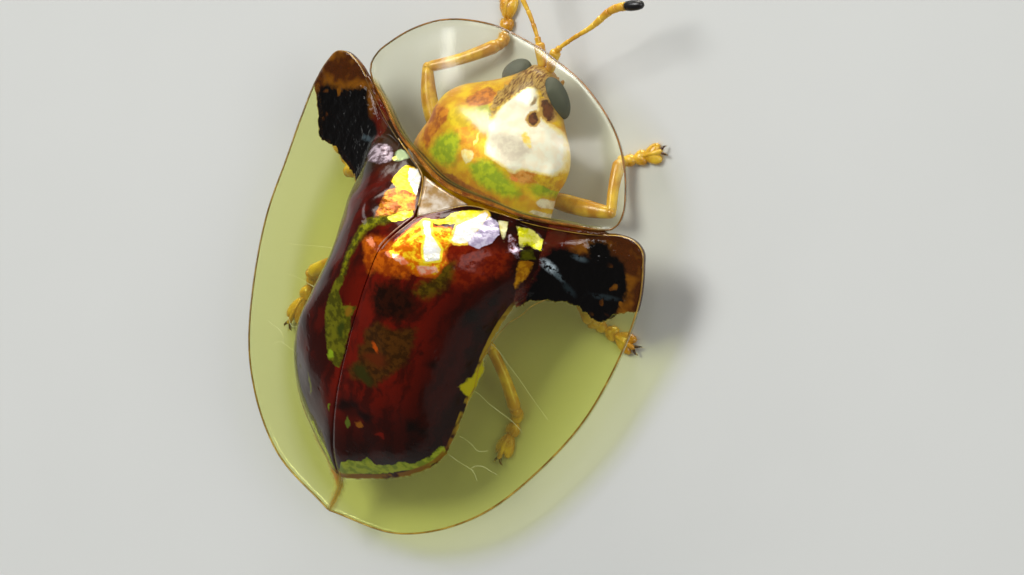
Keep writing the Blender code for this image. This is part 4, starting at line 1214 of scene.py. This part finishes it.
def make_scutellum(name, node):
    """The small triangle in front of the seam, a low cushion of pale gold."""
    corners = np.array([(0.68, 2.235), (-0.68, 2.235), (0.0, 1.50)])
    steps = 14
    solid = Solid()
    rows, points = [], []
    for i in range(steps + 1):
        row = []
        for j in range(steps + 1 - i):
            a, b = i / steps, j / steps
            x, y = corners[0] * (1 - a - b) + corners[1] * b + corners[2] * a
            edge = min(a, b, 1 - a - b) * 3
            z = float(
                hump_height(np.array(x), np.array(y))
            ) + 0.05 * math.sin(min(edge, 1) * math.pi / 2) - 0.03
            row.append(len(points))
            points.append((x, y, z))
        rows.append(row)
    faces = []
    for i in range(steps):
        for j in range(steps - i):
            faces.append((rows[i][j], rows[i][j + 1], rows[i + 1][j]))
            if j + 1 < steps - i:
                faces.append((rows[i][j + 1], rows[i + 1][j + 1], rows[i + 1][j]))
    solid.add(points, faces)
    piece = solid.build(name, ["scutellum_gold"])
    if sum(p.normal.z for p in piece.data.polygons) < 0:
        piece.data.flip_normals()
    wall(piece, sizes().shell_wall)
    return settle(piece, "scutellum_chitin", node)


def geometry_tree(name, inputs):
    """A Geometry Nodes tree with named inputs; returns it with its input and output nodes."""
    tree = bpy.data.node_groups.new(name, "GeometryNodeTree")
    tree.interface.new_socket("Geometry", in_out="OUTPUT", socket_type="NodeSocketGeometry")
    tree.interface.new_socket("Geometry", in_out="INPUT", socket_type="NodeSocketGeometry")
    for label, kind in inputs:
        tree.interface.new_socket(label, in_out="INPUT", socket_type=kind)
    return tree, put(tree, "NodeGroupInput"), put(tree, "NodeGroupOutput")


def close_tree(tree, geometry, source, output):
    realised = put(tree, "GeometryNodeRealizeInstances", {0: geometry})
    sockets = {0: realised.outputs[0], "Material": source.outputs["Material"]}
    painted = put(tree, "GeometryNodeSetMaterial", sockets)
    tree.links.new(painted.outputs[0], output.inputs[0])


def run_tree(carrier, tree, values, name):
    """Runs the tree on the carrier, and turns what it makes into a plain mesh piece."""
    modifier = carrier.modifiers.new("Shape", "NODES")
    modifier.node_group = tree
    sockets = {s.name: s.identifier for s in tree.interface.items_tree if s.in_out == "INPUT"}
    for label, value in values.items():
        modifier[sockets[label]] = value
    graph = bpy.context.evaluated_depsgraph_get()
    mesh = bpy.data.meshes.new_from_object(carrier.evaluated_get(graph))
    mesh.name = name
    mesh.shade_smooth()
    bpy.data.objects.remove(carrier)
    piece = bpy.data.objects.new(name, mesh)
    bpy.context.scene.collection.objects.link(piece)
    return piece


def wire(name, lines):
    """An object of bare edges in metres: one open line of points in mm for each entry."""
    points, edges = [], []
    for line in lines:
        base = len(points)
        points += [((p[0]) * MM, (p[1] + MIDDLE_Y) * MM, p[2] * MM) for p in line]
        edges += [(base + k, base + k + 1) for k in range(len(line) - 1)]
    mesh = bpy.data.meshes.new(name)
    mesh.from_pydata(points, edges, [])
    made = bpy.data.objects.new(name, mesh)
    bpy.context.scene.collection.objects.link(made)
    return made


def bead_tree():
    """Sweeps a round bead along every line of edges."""
    inputs = (
        ("Radius", "NodeSocketFloat"),
        ("Sides", "NodeSocketInt"),
        ("Material", "NodeSocketMaterial"),
    )
    tree, source, output = geometry_tree("Bead Along Edge", inputs)
    curve = put(tree, "GeometryNodeMeshToCurve", {0: source.outputs["Geometry"]})
    ring = put(
        tree,
        "GeometryNodeCurvePrimitiveCircle",
        {"Resolution": source.outputs["Sides"], "Radius": source.outputs["Radius"]},
    )
    swept = put(
        tree,
        "GeometryNodeCurveToMesh",
        {"Curve": curve.outputs[0], "Profile Curve": ring.outputs[0], "Fill Caps": True},
    )
    close_tree(tree, swept.outputs[0], source, output)
    return tree


def make_rims():
    """The thickened amber edges of shield and wing cases."""
    tree = bead_tree()
    radius = sizes().rim_bead
    outline = shield_outline(90, 30)
    outline = outline - np.array([0, 0, 0.03])
    loop = [*outline, outline[0], outline[1]]
    shield = run_tree(
        wire("shield_rim", [loop]),
        tree,
        {"Radius": radius, "Sides": 8, "Material": finish_named("amber_rim")},
        "shield_rim",
    )
    settle(shield, "shield_chitin")
    for side, word in ((1, "right"), (-1, "left")):
        grid, _ = wing_case_surface(wing_case_edge(60, 150), 84)
        edge = grid[-1] * np.array([side, 1, 1]) - np.array([0, 0, 0.03])
        values = {"Radius": radius, "Sides": 8, "Material": finish_named("honey_rim")}
        settle(
            run_tree(wire("rim", [edge[4:]]), tree, values, "wing_case_rim_" + word),
            "wing_case_chitin",
        )
        seam = grid[::-1, 0][grid[::-1, 0, 1] > SEAM_BEAD_END_Y] * np.array([side, 1, 1])
        seam = seam + np.array([side * 0.035, 0, 0.0])
        values = {"Radius": radius * 0.9, "Sides": 8, "Material": finish_named("brown_seam")}
        settle(
            run_tree(wire("seam", [seam]), tree, values, "seam_bead_" + word), "wing_case_chitin"
        )


# Veins of the right margin as they run out from the disc, and the gilded line at the disc's edge
VEINS = (
    ((2.51, -2.72), (2.65, -2.73), (2.85, -2.77), (2.97, -2.82), (3.22, -2.70)),
    ((2.46, -3.23), (2.61, -3.27), (2.83, -3.28), (3.12, -3.28)),
    ((3.06, -3.28), (3.18, -3.34), (3.29, -3.44)),
    ((3.01, -3.29), (3.13, -3.14), (3.30, -3.07), (3.48, -3.07), (3.69, -3.06)),
    ((2.43, -1.59), (2.74, -1.70), (3.11, -1.75), (3.46, -1.79), (3.82, -1.89)),
    ((2.38, -0.41), (2.70, -0.63), (3.21, -0.86), (3.78, -1.12), (4.25, -1.32)),
)
DISC_HEM = (
    (3.05, 1.11),
    (2.83, 0.83),
    (2.67, 0.48),
    (2.55, 0.26),
    (2.44, -0.07),
    (2.38, -0.41),
    (2.35, -0.74),
    (2.35, -0.95),
    (2.38, -1.24),
    (2.42, -1.53),
    (2.42, -1.79),
    (2.44, -2.03),
)


def on_piece(piece, line, side, lift):
    """The line of (x, y) laid on the piece from above, as points in mm."""
    laid = []
    for x, y in along([(*p, 0) for p in line], 6 * len(line))[:, :2]:
        start = Vector((side * x, y + MIDDLE_Y, 20)) * MM
        hit, place, _, _ = piece.ray_cast(start, (0, 0, -1))
        if not hit:
            raise RuntimeError("a vein leaves the wing case")
        laid.append((place.x / MM, place.y / MM - MIDDLE_Y, place.z / MM + lift))
    return laid


def make_veins():
    """Fine pale veins in the clear margin, and the raised gilded hem of the disc."""
    tree = bpy.data.node_groups["Bead Along Edge"]
    for side, word in ((1, "right"), (-1, "left")):
        case = bpy.data.objects["wing_case_" + word]
        lines = [on_piece(case, line, side, 0.002) for line in VEINS]
        values = {"Radius": sizes().vein, "Sides": 5, "Material": finish_named("pale_vein")}
        settle(
            run_tree(wire("veins", lines), tree, values, "margin_veins_" + word), "wing_case_chitin"
        )
        hem = on_piece(case, DISC_HEM, side, 0.004)
        values = {"Radius": 1.6 * sizes().vein, "Sides": 5, "Material": finish_named("golden_edge")}
        settle(run_tree(wire("hem", [hem]), tree, values, "disc_hem_" + word), "wing_case_chitin")


# Sections of the body along Y: (y, half width, top, belly)
BODY_SECTIONS = (
    (-4.36, 0.10, 1.34, 1.18),
    (-4.28, 0.44, 1.46, 1.10),
    (-4.05, 0.86, 1.62, 1.02),
    (-3.55, 1.32, 1.94, 0.98),
    (-2.80, 1.66, 2.34, 0.95),
    (-1.80, 1.78, 2.74, 0.93),
    (-0.80, 1.82, 2.98, 0.92),
    (0.20, 1.86, 3.04, 0.92),
    (1.00, 1.86, 2.80, 0.92),
    (1.65, 1.80, 2.38, 0.93),
    (2.02, 1.80, 2.14, 0.96),
    (2.40, 2.02, 2.26, 0.93),
    (2.85, 1.98, 2.36, 0.92),
    (3.20, 1.90, 2.38, 0.92),
    (3.60, 1.93, 2.32, 0.92),
    (3.95, 1.84, 2.14, 0.93),
    (4.25, 1.61, 1.92, 0.92),
    (4.50, 1.28, 1.74, 0.88),
    (4.70, 1.02, 1.64, 0.82),
    (4.92, 0.78, 1.58, 0.78),
    (5.15, 0.60, 1.52, 0.76),
    (5.34, 0.46, 1.43, 0.78),
    (5.47, 0.30, 1.31, 0.86),
    (5.53, 0.10, 1.16, 0.98),
)
BELLY_RINGS = (-3.75, -3.25, -2.70, -2.10, -1.40)
CHEST_SEAMS = (0.25, 2.02)


def make_body():
    """One skin over head, thorax and abdomen, with belly rings and chest seams."""
    count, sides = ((150, 72))
    run = curve_through(
        BODY_SECTIONS, np.linspace(BODY_SECTIONS[0][0], BODY_SECTIONS[-1][0], count)
    )
    ys = np.linspace(BODY_SECTIONS[0][0], BODY_SECTIONS[-1][0], count)
    points, faces = [], []
    for y, (half, top, belly) in zip(ys, run):
        waist = belly + 0.34 * (top - belly)
        for k in range(sides):
            a = 2 * math.pi * k / sides
            c, s = math.cos(a), math.sin(a)
            power = 0.92 if s > 0 else 0.62
            x = half * math.copysign(abs(c) ** 0.9, c)
            z = waist + (
                top - waist if s > 0 else waist - belly
            ) * math.copysign(abs(s) ** power, s)
            if s < 0:
                for ring in BELLY_RINGS:
                    z += 0.035 * -s * math.exp(-(((y - ring) / 0.045) ** 2))
                for seam in CHEST_SEAMS:
                    z += 0.05 * -s * math.exp(-(((y - seam) / 0.06) ** 2))
                z -= 0.05 * -s * math.exp(-((x / 0.35) ** 2)) * (1 if -1.0 < y < 4.0 else 0)
            points.append((x, y, z + 0.012 * noise.noise(Vector((x, y, z)) * 3.1)))
    for i in range(count - 1):
        for k in range(sides):
            m = (k + 1) % sides
            a, b = i * sides, (i + 1) * sides
            faces.append((a + k, a + m, b + m, b + k))
    ends = ((0, ys[0] - 0.02, True), (count - 1, ys[-1] + 0.02, False))
    for row, y, tail in ends:
        ring = [row * sides + k for k in range(sides)]
        middle = np.mean([points[k] for k in ring], axis=0)
        tip = len(points)
        points.append((0.0, y, float(middle[2])))
        for k in range(sides):
            m = (k + 1) % sides
            faces.append((ring[m], ring[k], tip) if tail else (ring[k], ring[m], tip))
    solid = Solid()
    solid.add(points, [tuple(reversed(face)) for face in faces])
    # Mouth: upper lip, jaws and two pairs of jointed palps below the face
    solid.blob((0, 5.36, 0.80), (0.22, 0.13, 0.09))
    for side in (-1, 1):
        solid.blob(
            (side * 0.12, 5.28, 0.70), (0.11, 0.15, 0.08), Matrix.Rotation(side * 0.5, 3, "Z")
        )
        solid.tube(
            along(
                ((side * 0.18, 5.10, 0.72), (side * 0.27, 5.24, 0.62), (side * 0.22, 5.38, 0.54)), 9
            ),
            [0.035, 0.045, 0.05, 0.042, 0.05, 0.055, 0.045, 0.05, 0.03],
            10,
        )
        solid.tube(
            along(
                ((side * 0.07, 5.16, 0.68), (side * 0.09, 5.28, 0.58), (side * 0.07, 5.38, 0.54)), 7
            ),
            [0.025, 0.032, 0.036, 0.03, 0.036, 0.036, 0.02],
            8,
        )
    piece = solid.build("body_skin", ["gilded_skin"])
    fix_outward(piece)
    mark_outlines(piece, {key: patch[-1] for key, patch in SKIN_PATCHES.items()})
    mark_outlines(piece, {"down": (BROW_DOWN,)})
    return settle(piece, "body_chitin", "abdomen", "hind_thorax", "prothorax", "head")


def fix_outward(piece):
    """Turns every closed shell of the piece to face outwards."""
    bm = bmesh.new()
    bm.from_mesh(piece.data)
    bmesh.ops.recalc_face_normals(bm, faces=bm.faces)
    bm.to_mesh(piece.data)
    bm.free()


def eye_tree():
    """A ball of six-sided lenses, each a low dome, stretched to the eye's long oval."""
    inputs = (
        ("Rounds", "NodeSocketInt"),
        ("Half Sizes", "NodeSocketVector"),
        ("Lens Height", "NodeSocketFloat"),
        ("Material", "NodeSocketMaterial"),
    )
    tree, source, output = geometry_tree("Faceted Eye", inputs)
    ball = put(
        tree, "GeometryNodeMeshIcoSphere", {"Radius": 1.0, "Subdivisions": source.outputs["Rounds"]}
    )
    lenses = put(tree, "GeometryNodeDualMesh", {0: ball.outputs[0]})
    raised = put(
        tree,
        "GeometryNodeExtrudeMesh",
        {
            "Mesh": lenses.outputs[0],
            "Offset Scale": source.outputs["Lens Height"],
            "Individual": True,
        },
        mode="FACES",
    )
    domed = put(
        tree,
        "GeometryNodeScaleElements",
        {"Geometry": raised.outputs["Mesh"], "Selection": raised.outputs["Top"], "Scale": 0.62},
    )
    oval = put(
        tree,
        "GeometryNodeTransform",
        {"Geometry": domed.outputs[0], "Scale": source.outputs["Half Sizes"]},
    )
    close_tree(tree, oval.outputs[0], source, output)
    return tree


def make_eyes():
    tree = eye_tree()
    for side, word in ((1, "right"), (-1, "left")):
        front, back = (Vector((side * p[0], p[1], p[2])) for p in (EYE_FRONT, EYE_BACK))
        half_length = (front - back).length / 2 + EYE_REACH
        values = {
            "Rounds": sizes().facet_rounds,
            "Half Sizes": [half * MM for half in (*EYE_HALF_SIZES, half_length)],
            "Lens Height": 0.02,
            "Material": finish_named("eye_facets"),
        }
        piece = run_tree(wire("eye", []), tree, values, "faceted_eye_" + word)
        turn = (front - back).to_track_quat("Z", "Y").to_matrix().to_4x4()
        centre = front.lerp(back, 0.5) + Vector((0, MIDDLE_Y, 0))
        piece.data.transform(Matrix.Translation(centre * MM) @ turn)
        settle(piece, "eye_facets", "eye_" + word)


def make_feelers():
    """Eleven joints each: slender amber ones, then stout ones, the last one black."""
    for word, path in FEELER_PATHS.items():
        line = along(path, 400)
        run = np.concatenate([[0], np.cumsum(np.linalg.norm(np.diff(line, axis=0), axis=1))])
        total = sum(length for length, _, _ in FEELER_JOINTS)
        tip = len(FEELER_JOINTS) - 1
        at, solid = 0.0, Solid()
        for number, (length, start, end) in enumerate(FEELER_JOINTS):
            share = np.array(JOINT_SHARES)
            radius = np.interp(share, [0, 1], [start, end]) * np.array(JOINT_SWELL)
            if number == tip:
                radius = np.array(TIP_RADII)
            where = (at + share * length * 0.985) / total * run[-1]
            middle = np.column_stack([np.interp(where, run, line[:, k]) for k in range(3)])
            solid.tube(middle, radius, 14, 1 if number == tip else 0)
            at += length
        piece = solid.build("feeler_" + word, ["amber_chitin", "feeler_tip_black"])
        fix_outward(piece)
        settle(piece, "feeler_chitin", "antenna_" + word)


def limb_path(start, end, bow, count):
    """A slightly bowed line between two joints."""
    start, end = Vector(start), Vector(end)
    across = (end - start).cross(Vector((0, 0, 1))).normalized()
    path = []
    for n in range(count):
        t = n / (count - 1)
        path.append(start.lerp(end, t) + across * bow * math.sin(math.pi * t))
    return path


def fan_shape(notch, waist):
    """Moves a unit ball's points to a fan: narrow behind, notched in front."""

    def shape(p):
        ahead = p[0] - notch * max(p[0], 0.0) * math.exp(-((p[1] / 0.38) ** 2))
        return ahead, p[1] * (waist + (1 - waist) * (1 + p[0]) / 2), p[2]

    return shape


def make_leg(name):
    hip, knee, ankle, toe = (Vector(p) for p in LEGS[name])
    side = 1 if hip.x > 0 else -1
    solid, feet = Solid(), Solid()
    inner = hip + Vector((-side * 0.42, 0, 0.22))
    solid.blob(inner, (0.34, 0.26, 0.22))
    solid.tube([inner, hip.lerp(inner, 0.4), hip], [0.15, 0.16, 0.13], 16)
    share = np.array([p[0] for p in THIGH])
    t = np.linspace(0, 1, 18)
    bow = THIGH_BOW.get(name, 0.04) * side
    radii = np.interp(t, share, [p[1] for p in THIGH])
    solid.tube(limb_path(hip, knee, bow, 18), radii, 18, 0, 0.82)
    share = np.array([p[0] for p in SHIN])
    radii = np.interp(t[:16] / t[15], share, [p[1] for p in SHIN])
    solid.tube(limb_path(knee, ankle, -0.05 * side, 16), radii, 16, 0, 0.9)
    solid.blob(knee, (0.12, 0.12, 0.11))
    way = toe - ankle
    heading = math.atan2(way.y, way.x)
    length = Vector((way.x, way.y)).length
    turn = Matrix.Rotation(heading, 3, "Z")

    def on_foot(ahead, across, height):
        flat = turn @ Vector((ahead * length, across, 0))
        return Vector((ankle.x + flat.x, ankle.y + flat.y, height))

    # Three soles: a small round one, a heart, and a wide fan with a notch for the claw joint
    soles = (
        (0.12, 0.19, 0.15, 0.0, 0.9),
        (0.38, 0.20, 0.22, 0.30, 0.6),
        (0.72, 0.26 * length, 0.31, 0.50, 0.50),
    )
    for ahead, half_length, half_width, notch, waist in soles:
        height = 0.085 if ahead > 0.3 else 0.14
        fan = fan_shape(notch, waist)
        feet.blob(
            on_foot(ahead, 0, height), (half_length, half_width, 0.12), turn, 0, 28, 14, 0.0, fan
        )
    feet.tube([ankle, on_foot(0.06, 0, 0.20), on_foot(0.14, 0, 0.15)], [0.14, 0.12, 0.10], 14)
    claw_root = on_foot(0.52, 0, 0.17)
    claw_base = on_foot(0.98, 0, 0.16)
    claw_bow = claw_root.lerp(claw_base, 0.5) + Vector((0, 0, 0.02))
    feet.tube([claw_root, claw_bow, claw_base], [0.035, 0.05, 0.06], 12)
    for way_out in (-1, 1):
        points = [on_foot(ahead, way_out * across, height) for ahead, across, height in CLAW]
        feet.tube(along(points, 8), CLAW_RADII, 8, 1)
    solid.add(feet.points, feet.faces, 0)
    solid.slots[-len(feet.faces) :] = feet.slots
    piece = solid.build(name + "_skin", ["amber_chitin", "claw"])
    fix_outward(piece)
    settle(piece, "leg_chitin", name)
    return feet, heading


def hair_tree():
    """Scatters tapering hairs over the feet; they lean forward along the foot."""
    inputs = (
        ("Hairs Per Area", "NodeSocketFloat"),
        ("Length", "NodeSocketFloat"),
        ("Radius", "NodeSocketFloat"),
        ("Lean", "NodeSocketVector"),
        ("Seed", "NodeSocketInt"),
        ("Material", "NodeSocketMaterial"),
    )
    tree, source, output = geometry_tree("Foot Hairs", inputs)
    points = put(
        tree,
        "GeometryNodeDistributePointsOnFaces",
        {
            "Mesh": source.outputs["Geometry"],
            "Density": source.outputs["Hairs Per Area"],
            "Seed": source.outputs["Seed"],
        },
    )
    hair = put(
        tree,
        "GeometryNodeMeshCone",
        {
            "Vertices": 4,
            "Radius Top": 0.0,
            "Radius Bottom": source.outputs["Radius"],
            "Depth": source.outputs["Length"],
        },
    )
    sockets = {0: points.outputs["Normal"], 1: source.outputs["Lean"]}
    leaning = put(tree, "ShaderNodeVectorMath", sockets, operation="ADD")
    jitter = put(
        tree,
        "FunctionNodeRandomValue",
        {0: (-0.35, -0.35, -0.35), 1: (0.35, 0.35, 0.35), "Seed": source.outputs["Seed"]},
        data_type="FLOAT_VECTOR",
    )
    loose = put(
        tree, "ShaderNodeVectorMath", {0: leaning.outputs[0], 1: jitter.outputs[0]}, operation="ADD"
    )
    aim = put(tree, "FunctionNodeAlignRotationToVector", {"Vector": loose.outputs[0]}, axis="Z")
    sockets = {2: 0.45, 3: 1.0, "Seed": source.outputs["Seed"]}
    long = put(tree, "FunctionNodeRandomValue", sockets, data_type="FLOAT")
    planted = put(
        tree,
        "GeometryNodeInstanceOnPoints",
        {
            "Points": points.outputs["Points"],
            "Instance": hair.outputs["Mesh"],
            "Rotation": aim.outputs[0],
            "Scale": long.outputs[1],
        },
    )
    close_tree(tree, planted.outputs[0], source, output)
    return tree


def make_legs():
    tree = hair_tree()
    for number, name in enumerate(LEGS):
        feet, heading = make_leg(name)
        carrier = feet.build("foot", ["amber_chitin", "claw"])
        values = {
            "Hairs Per Area": sizes().hairs_per_square_mm / MM**2 * 1.0,
            "Length": sizes().hair,
            "Radius": HAIR_RADIUS * MM,
            "Lean": (1.3 * math.cos(heading), 1.3 * math.sin(heading), 0.12),
            "Seed": number,
            "Material": finish_named("foot_hair"),
        }
        piece = run_tree(carrier, tree, values, name + "_hairs")
        for v in piece.data.vertices:
            v.co.z = max(v.co.z, 0.002 * MM)
        settle(piece, "leg_chitin")


# Camera: where it looks from, in degrees, and what it frames
CAMERA_AZIMUTH = 112.37
CAMERA_ELEVATION = 56.35
CAMERA_ROLL = 277.31
CAMERA_DISTANCE = 400.0
FRAME_WIDTH_MM = 23.47
PIXELS_PER_MM = 43.63
# The photograph shows this height of the shell at this offset from the middle of the frame
AIM_HEIGHT = 0.70
AIM_RIGHT = (512.0 - 451.06) / PIXELS_PER_MM
AIM_UP = (282.0 - 287.5) / PIXELS_PER_MM
SENSOR_MM = 36.0


# Studio: half the floor's side in metres, how bright the room is, and its soft boxes as
# (name, place in mm, width and height in mm, watts, colour)
FLOOR_HALF_SIDE = 0.6
SKY_STRENGTH = 0.22
SOFT_BOXES = (
    ("main_box", (-90.6, 42.3, 173), (85, 85), 0.27, "#ffffff"),
    ("fill_box", (139, 90.3, 111.8), (120, 70), 0.10, "#ffffff"),
    ("front_box", (-68, 120, 20), (80, 32), 0.13, "#fffaf0"),
    ("low_box", (-179.7, 65.4, 58.5), (35, 28), 0.02, "#ffffff"),
    ("top_box", (43.7, 102.9, 165.8), (30, 30), 0.016, "#ffffff"),
)


def camera_axes():
    a, e, r = (math.radians(v) for v in (CAMERA_AZIMUTH, CAMERA_ELEVATION, CAMERA_ROLL))
    back = Vector((math.sin(a) * math.cos(e), -math.cos(a) * math.cos(e), math.sin(e)))
    level = (-back).cross(Vector((0, 0, 1))).normalized()
    up = level.cross(-back).normalized()
    right = level * math.cos(r) + up * math.sin(r)
    return right, -level * math.sin(r) + up * math.cos(r), back


def make_camera():
    right, up, back = camera_axes()
    aim = Vector((0, MIDDLE_Y, AIM_HEIGHT)) + right * AIM_RIGHT + up * AIM_UP
    data = bpy.data.cameras.new("camera")
    data.sensor_width = SENSOR_MM
    data.lens = SENSOR_MM * CAMERA_DISTANCE / FRAME_WIDTH_MM
    data.clip_start = 0.005
    data.clip_end = 20.0
    camera = bpy.data.objects.new("camera", data)
    turn = Matrix((right, up, back)).transposed().to_4x4()
    camera.matrix_world = Matrix.Translation((aim + back * CAMERA_DISTANCE) * MM) @ turn
    bpy.context.scene.collection.objects.link(camera)
    bpy.context.scene.camera = camera


def soft_box(name, spot, aim, size_mm, power, tint):
    """An area light at spot, turned to aim, both in mm."""
    data = bpy.data.lights.new(name, "AREA")
    data.shape = "RECTANGLE"
    data.size, data.size_y = size_mm[0] * MM, size_mm[1] * MM
    data.energy = power
    data.color = linear(tint)
    lamp = bpy.data.objects.new(name, data)
    spot, aim = Vector(spot), Vector(aim)
    turn = (spot - aim).to_track_quat("Z", "Y").to_matrix().to_4x4()
    lamp.matrix_world = Matrix.Translation(spot * MM) @ turn
    bpy.context.scene.collection.objects.link(lamp)


def make_stage():
    mesh = bpy.data.meshes.new("studio_floor")
    half = FLOOR_HALF_SIDE
    corners = [(-half, -half, 0), (half, -half, 0), (half, half, 0), (-half, half, 0)]
    mesh.from_pydata(corners, [], [(0, 1, 2, 3)])
    f = Finish("studio_floor_paper", Roughness=0.75)
    f.link("Base Color", f.mix(f.grain(6.0, 3.0), colours().floor, "#cdceca"))
    mesh.materials.append(f.material)
    floor = bpy.data.objects.new("studio_floor", mesh)
    bpy.context.scene.collection.objects.link(floor)
    world = bpy.data.worlds.new("studio")
    bpy.context.scene.world = world
    world.use_nodes = True
    ground = world.node_tree.nodes["Background"]
    ground.inputs["Color"].default_value = (*linear("#eef1f4"), 1)
    ground.inputs["Strength"].default_value = SKY_STRENGTH
    for name, spot, size_mm, power, tint in SOFT_BOXES:
        soft_box(name, spot, (0, 0, 1), size_mm, power, tint)
    bpy.context.scene.view_settings.view_transform = "Standard"


class BEETLE_OT_wing_cases(bpy.types.Operator):
    """Makes both wing cases with their clear margins"""

    bl_idname = "beetle.wing_cases"
    bl_label = "Wing Cases"

    def execute(self, context):
        make_wing_case("wing_case_right", "elytron_right", 1)
        make_wing_case("wing_case_left", "elytron_left", -1)
        return {"FINISHED"}


class BEETLE_OT_shield(bpy.types.Operator):
    """Makes the clear shield over the head, and the scutellum behind it"""

    bl_idname = "beetle.shield"
    bl_label = "Shield and Scutellum"

    def execute(self, context):
        make_shield("head_shield", "pronotum")
        make_scutellum("scutellum_plate", "scutellum")
        return {"FINISHED"}


class BEETLE_OT_rims(bpy.types.Operator):
    """Makes the amber rims and the veins of the clear margin"""

    bl_idname = "beetle.rims"
    bl_label = "Rims and Veins"

    def execute(self, context):
        make_rims()
        make_veins()
        return {"FINISHED"}


class BEETLE_OT_body(bpy.types.Operator):
    """Makes the skin of head, thorax and abdomen"""

    bl_idname = "beetle.body"
    bl_label = "Body"

    def execute(self, context):
        make_body()
        return {"FINISHED"}


class BEETLE_OT_eyes(bpy.types.Operator):
    """Makes the faceted eyes"""

    bl_idname = "beetle.eyes"
    bl_label = "Eyes"

    def execute(self, context):
        make_eyes()
        return {"FINISHED"}


class BEETLE_OT_feelers(bpy.types.Operator):
    """Makes the jointed feelers"""

    bl_idname = "beetle.feelers"
    bl_label = "Feelers"

    def execute(self, context):
        make_feelers()
        return {"FINISHED"}


class BEETLE_OT_legs(bpy.types.Operator):
    """Makes the legs, and the hairs on their feet"""

    bl_idname = "beetle.legs"
    bl_label = "Legs"

    def execute(self, context):
        make_legs()
        return {"FINISHED"}


class BEETLE_OT_stage(bpy.types.Operator):
    """Makes the floor, the lights and the camera"""

    bl_idname = "beetle.stage"
    bl_label = "Studio"

    def execute(self, context):
        make_camera()
        make_stage()
        return {"FINISHED"}


class BEETLE_PT_panel(bpy.types.Panel):
    """Lists the steps that build the beetle"""

    bl_label = "Tortoise Beetle"
    bl_idname = "BEETLE_PT_panel"
    bl_space_type = "VIEW_3D"
    bl_region_type = "UI"
    bl_category = "Beetle"

    def draw(self, context):
        for group in (context.scene.beetle_sizes, context.scene.beetle_colours):
            box = self.layout.box()
            for name in group.__annotations__:
                box.prop(group, name)
        for step in STEPS:
            self.layout.operator(step.bl_idname)


STEPS = (
    BEETLE_OT_stage,
    BEETLE_OT_wing_cases,
    BEETLE_OT_shield,
    BEETLE_OT_rims,
    BEETLE_OT_body,
    BEETLE_OT_eyes,
    BEETLE_OT_feelers,
    BEETLE_OT_legs,
)
CLASSES = (BeetleSizes, BeetleColours, *STEPS, BEETLE_PT_panel)


def register():
    for each in CLASSES:
        bpy.utils.register_class(each)
    bpy.types.Scene.beetle_sizes = PointerProperty(type=BeetleSizes)
    bpy.types.Scene.beetle_colours = PointerProperty(type=BeetleColours)


def unregister():
    del bpy.types.Scene.beetle_colours
    del bpy.types.Scene.beetle_sizes
    for each in reversed(CLASSES):
        bpy.utils.unregister_class(each)


def main():
    register()
    for step in STEPS:
        group, name = step.bl_idname.split(".")
        getattr(getattr(bpy.ops, group), name)()


if __name__ == "__main__":
    main()
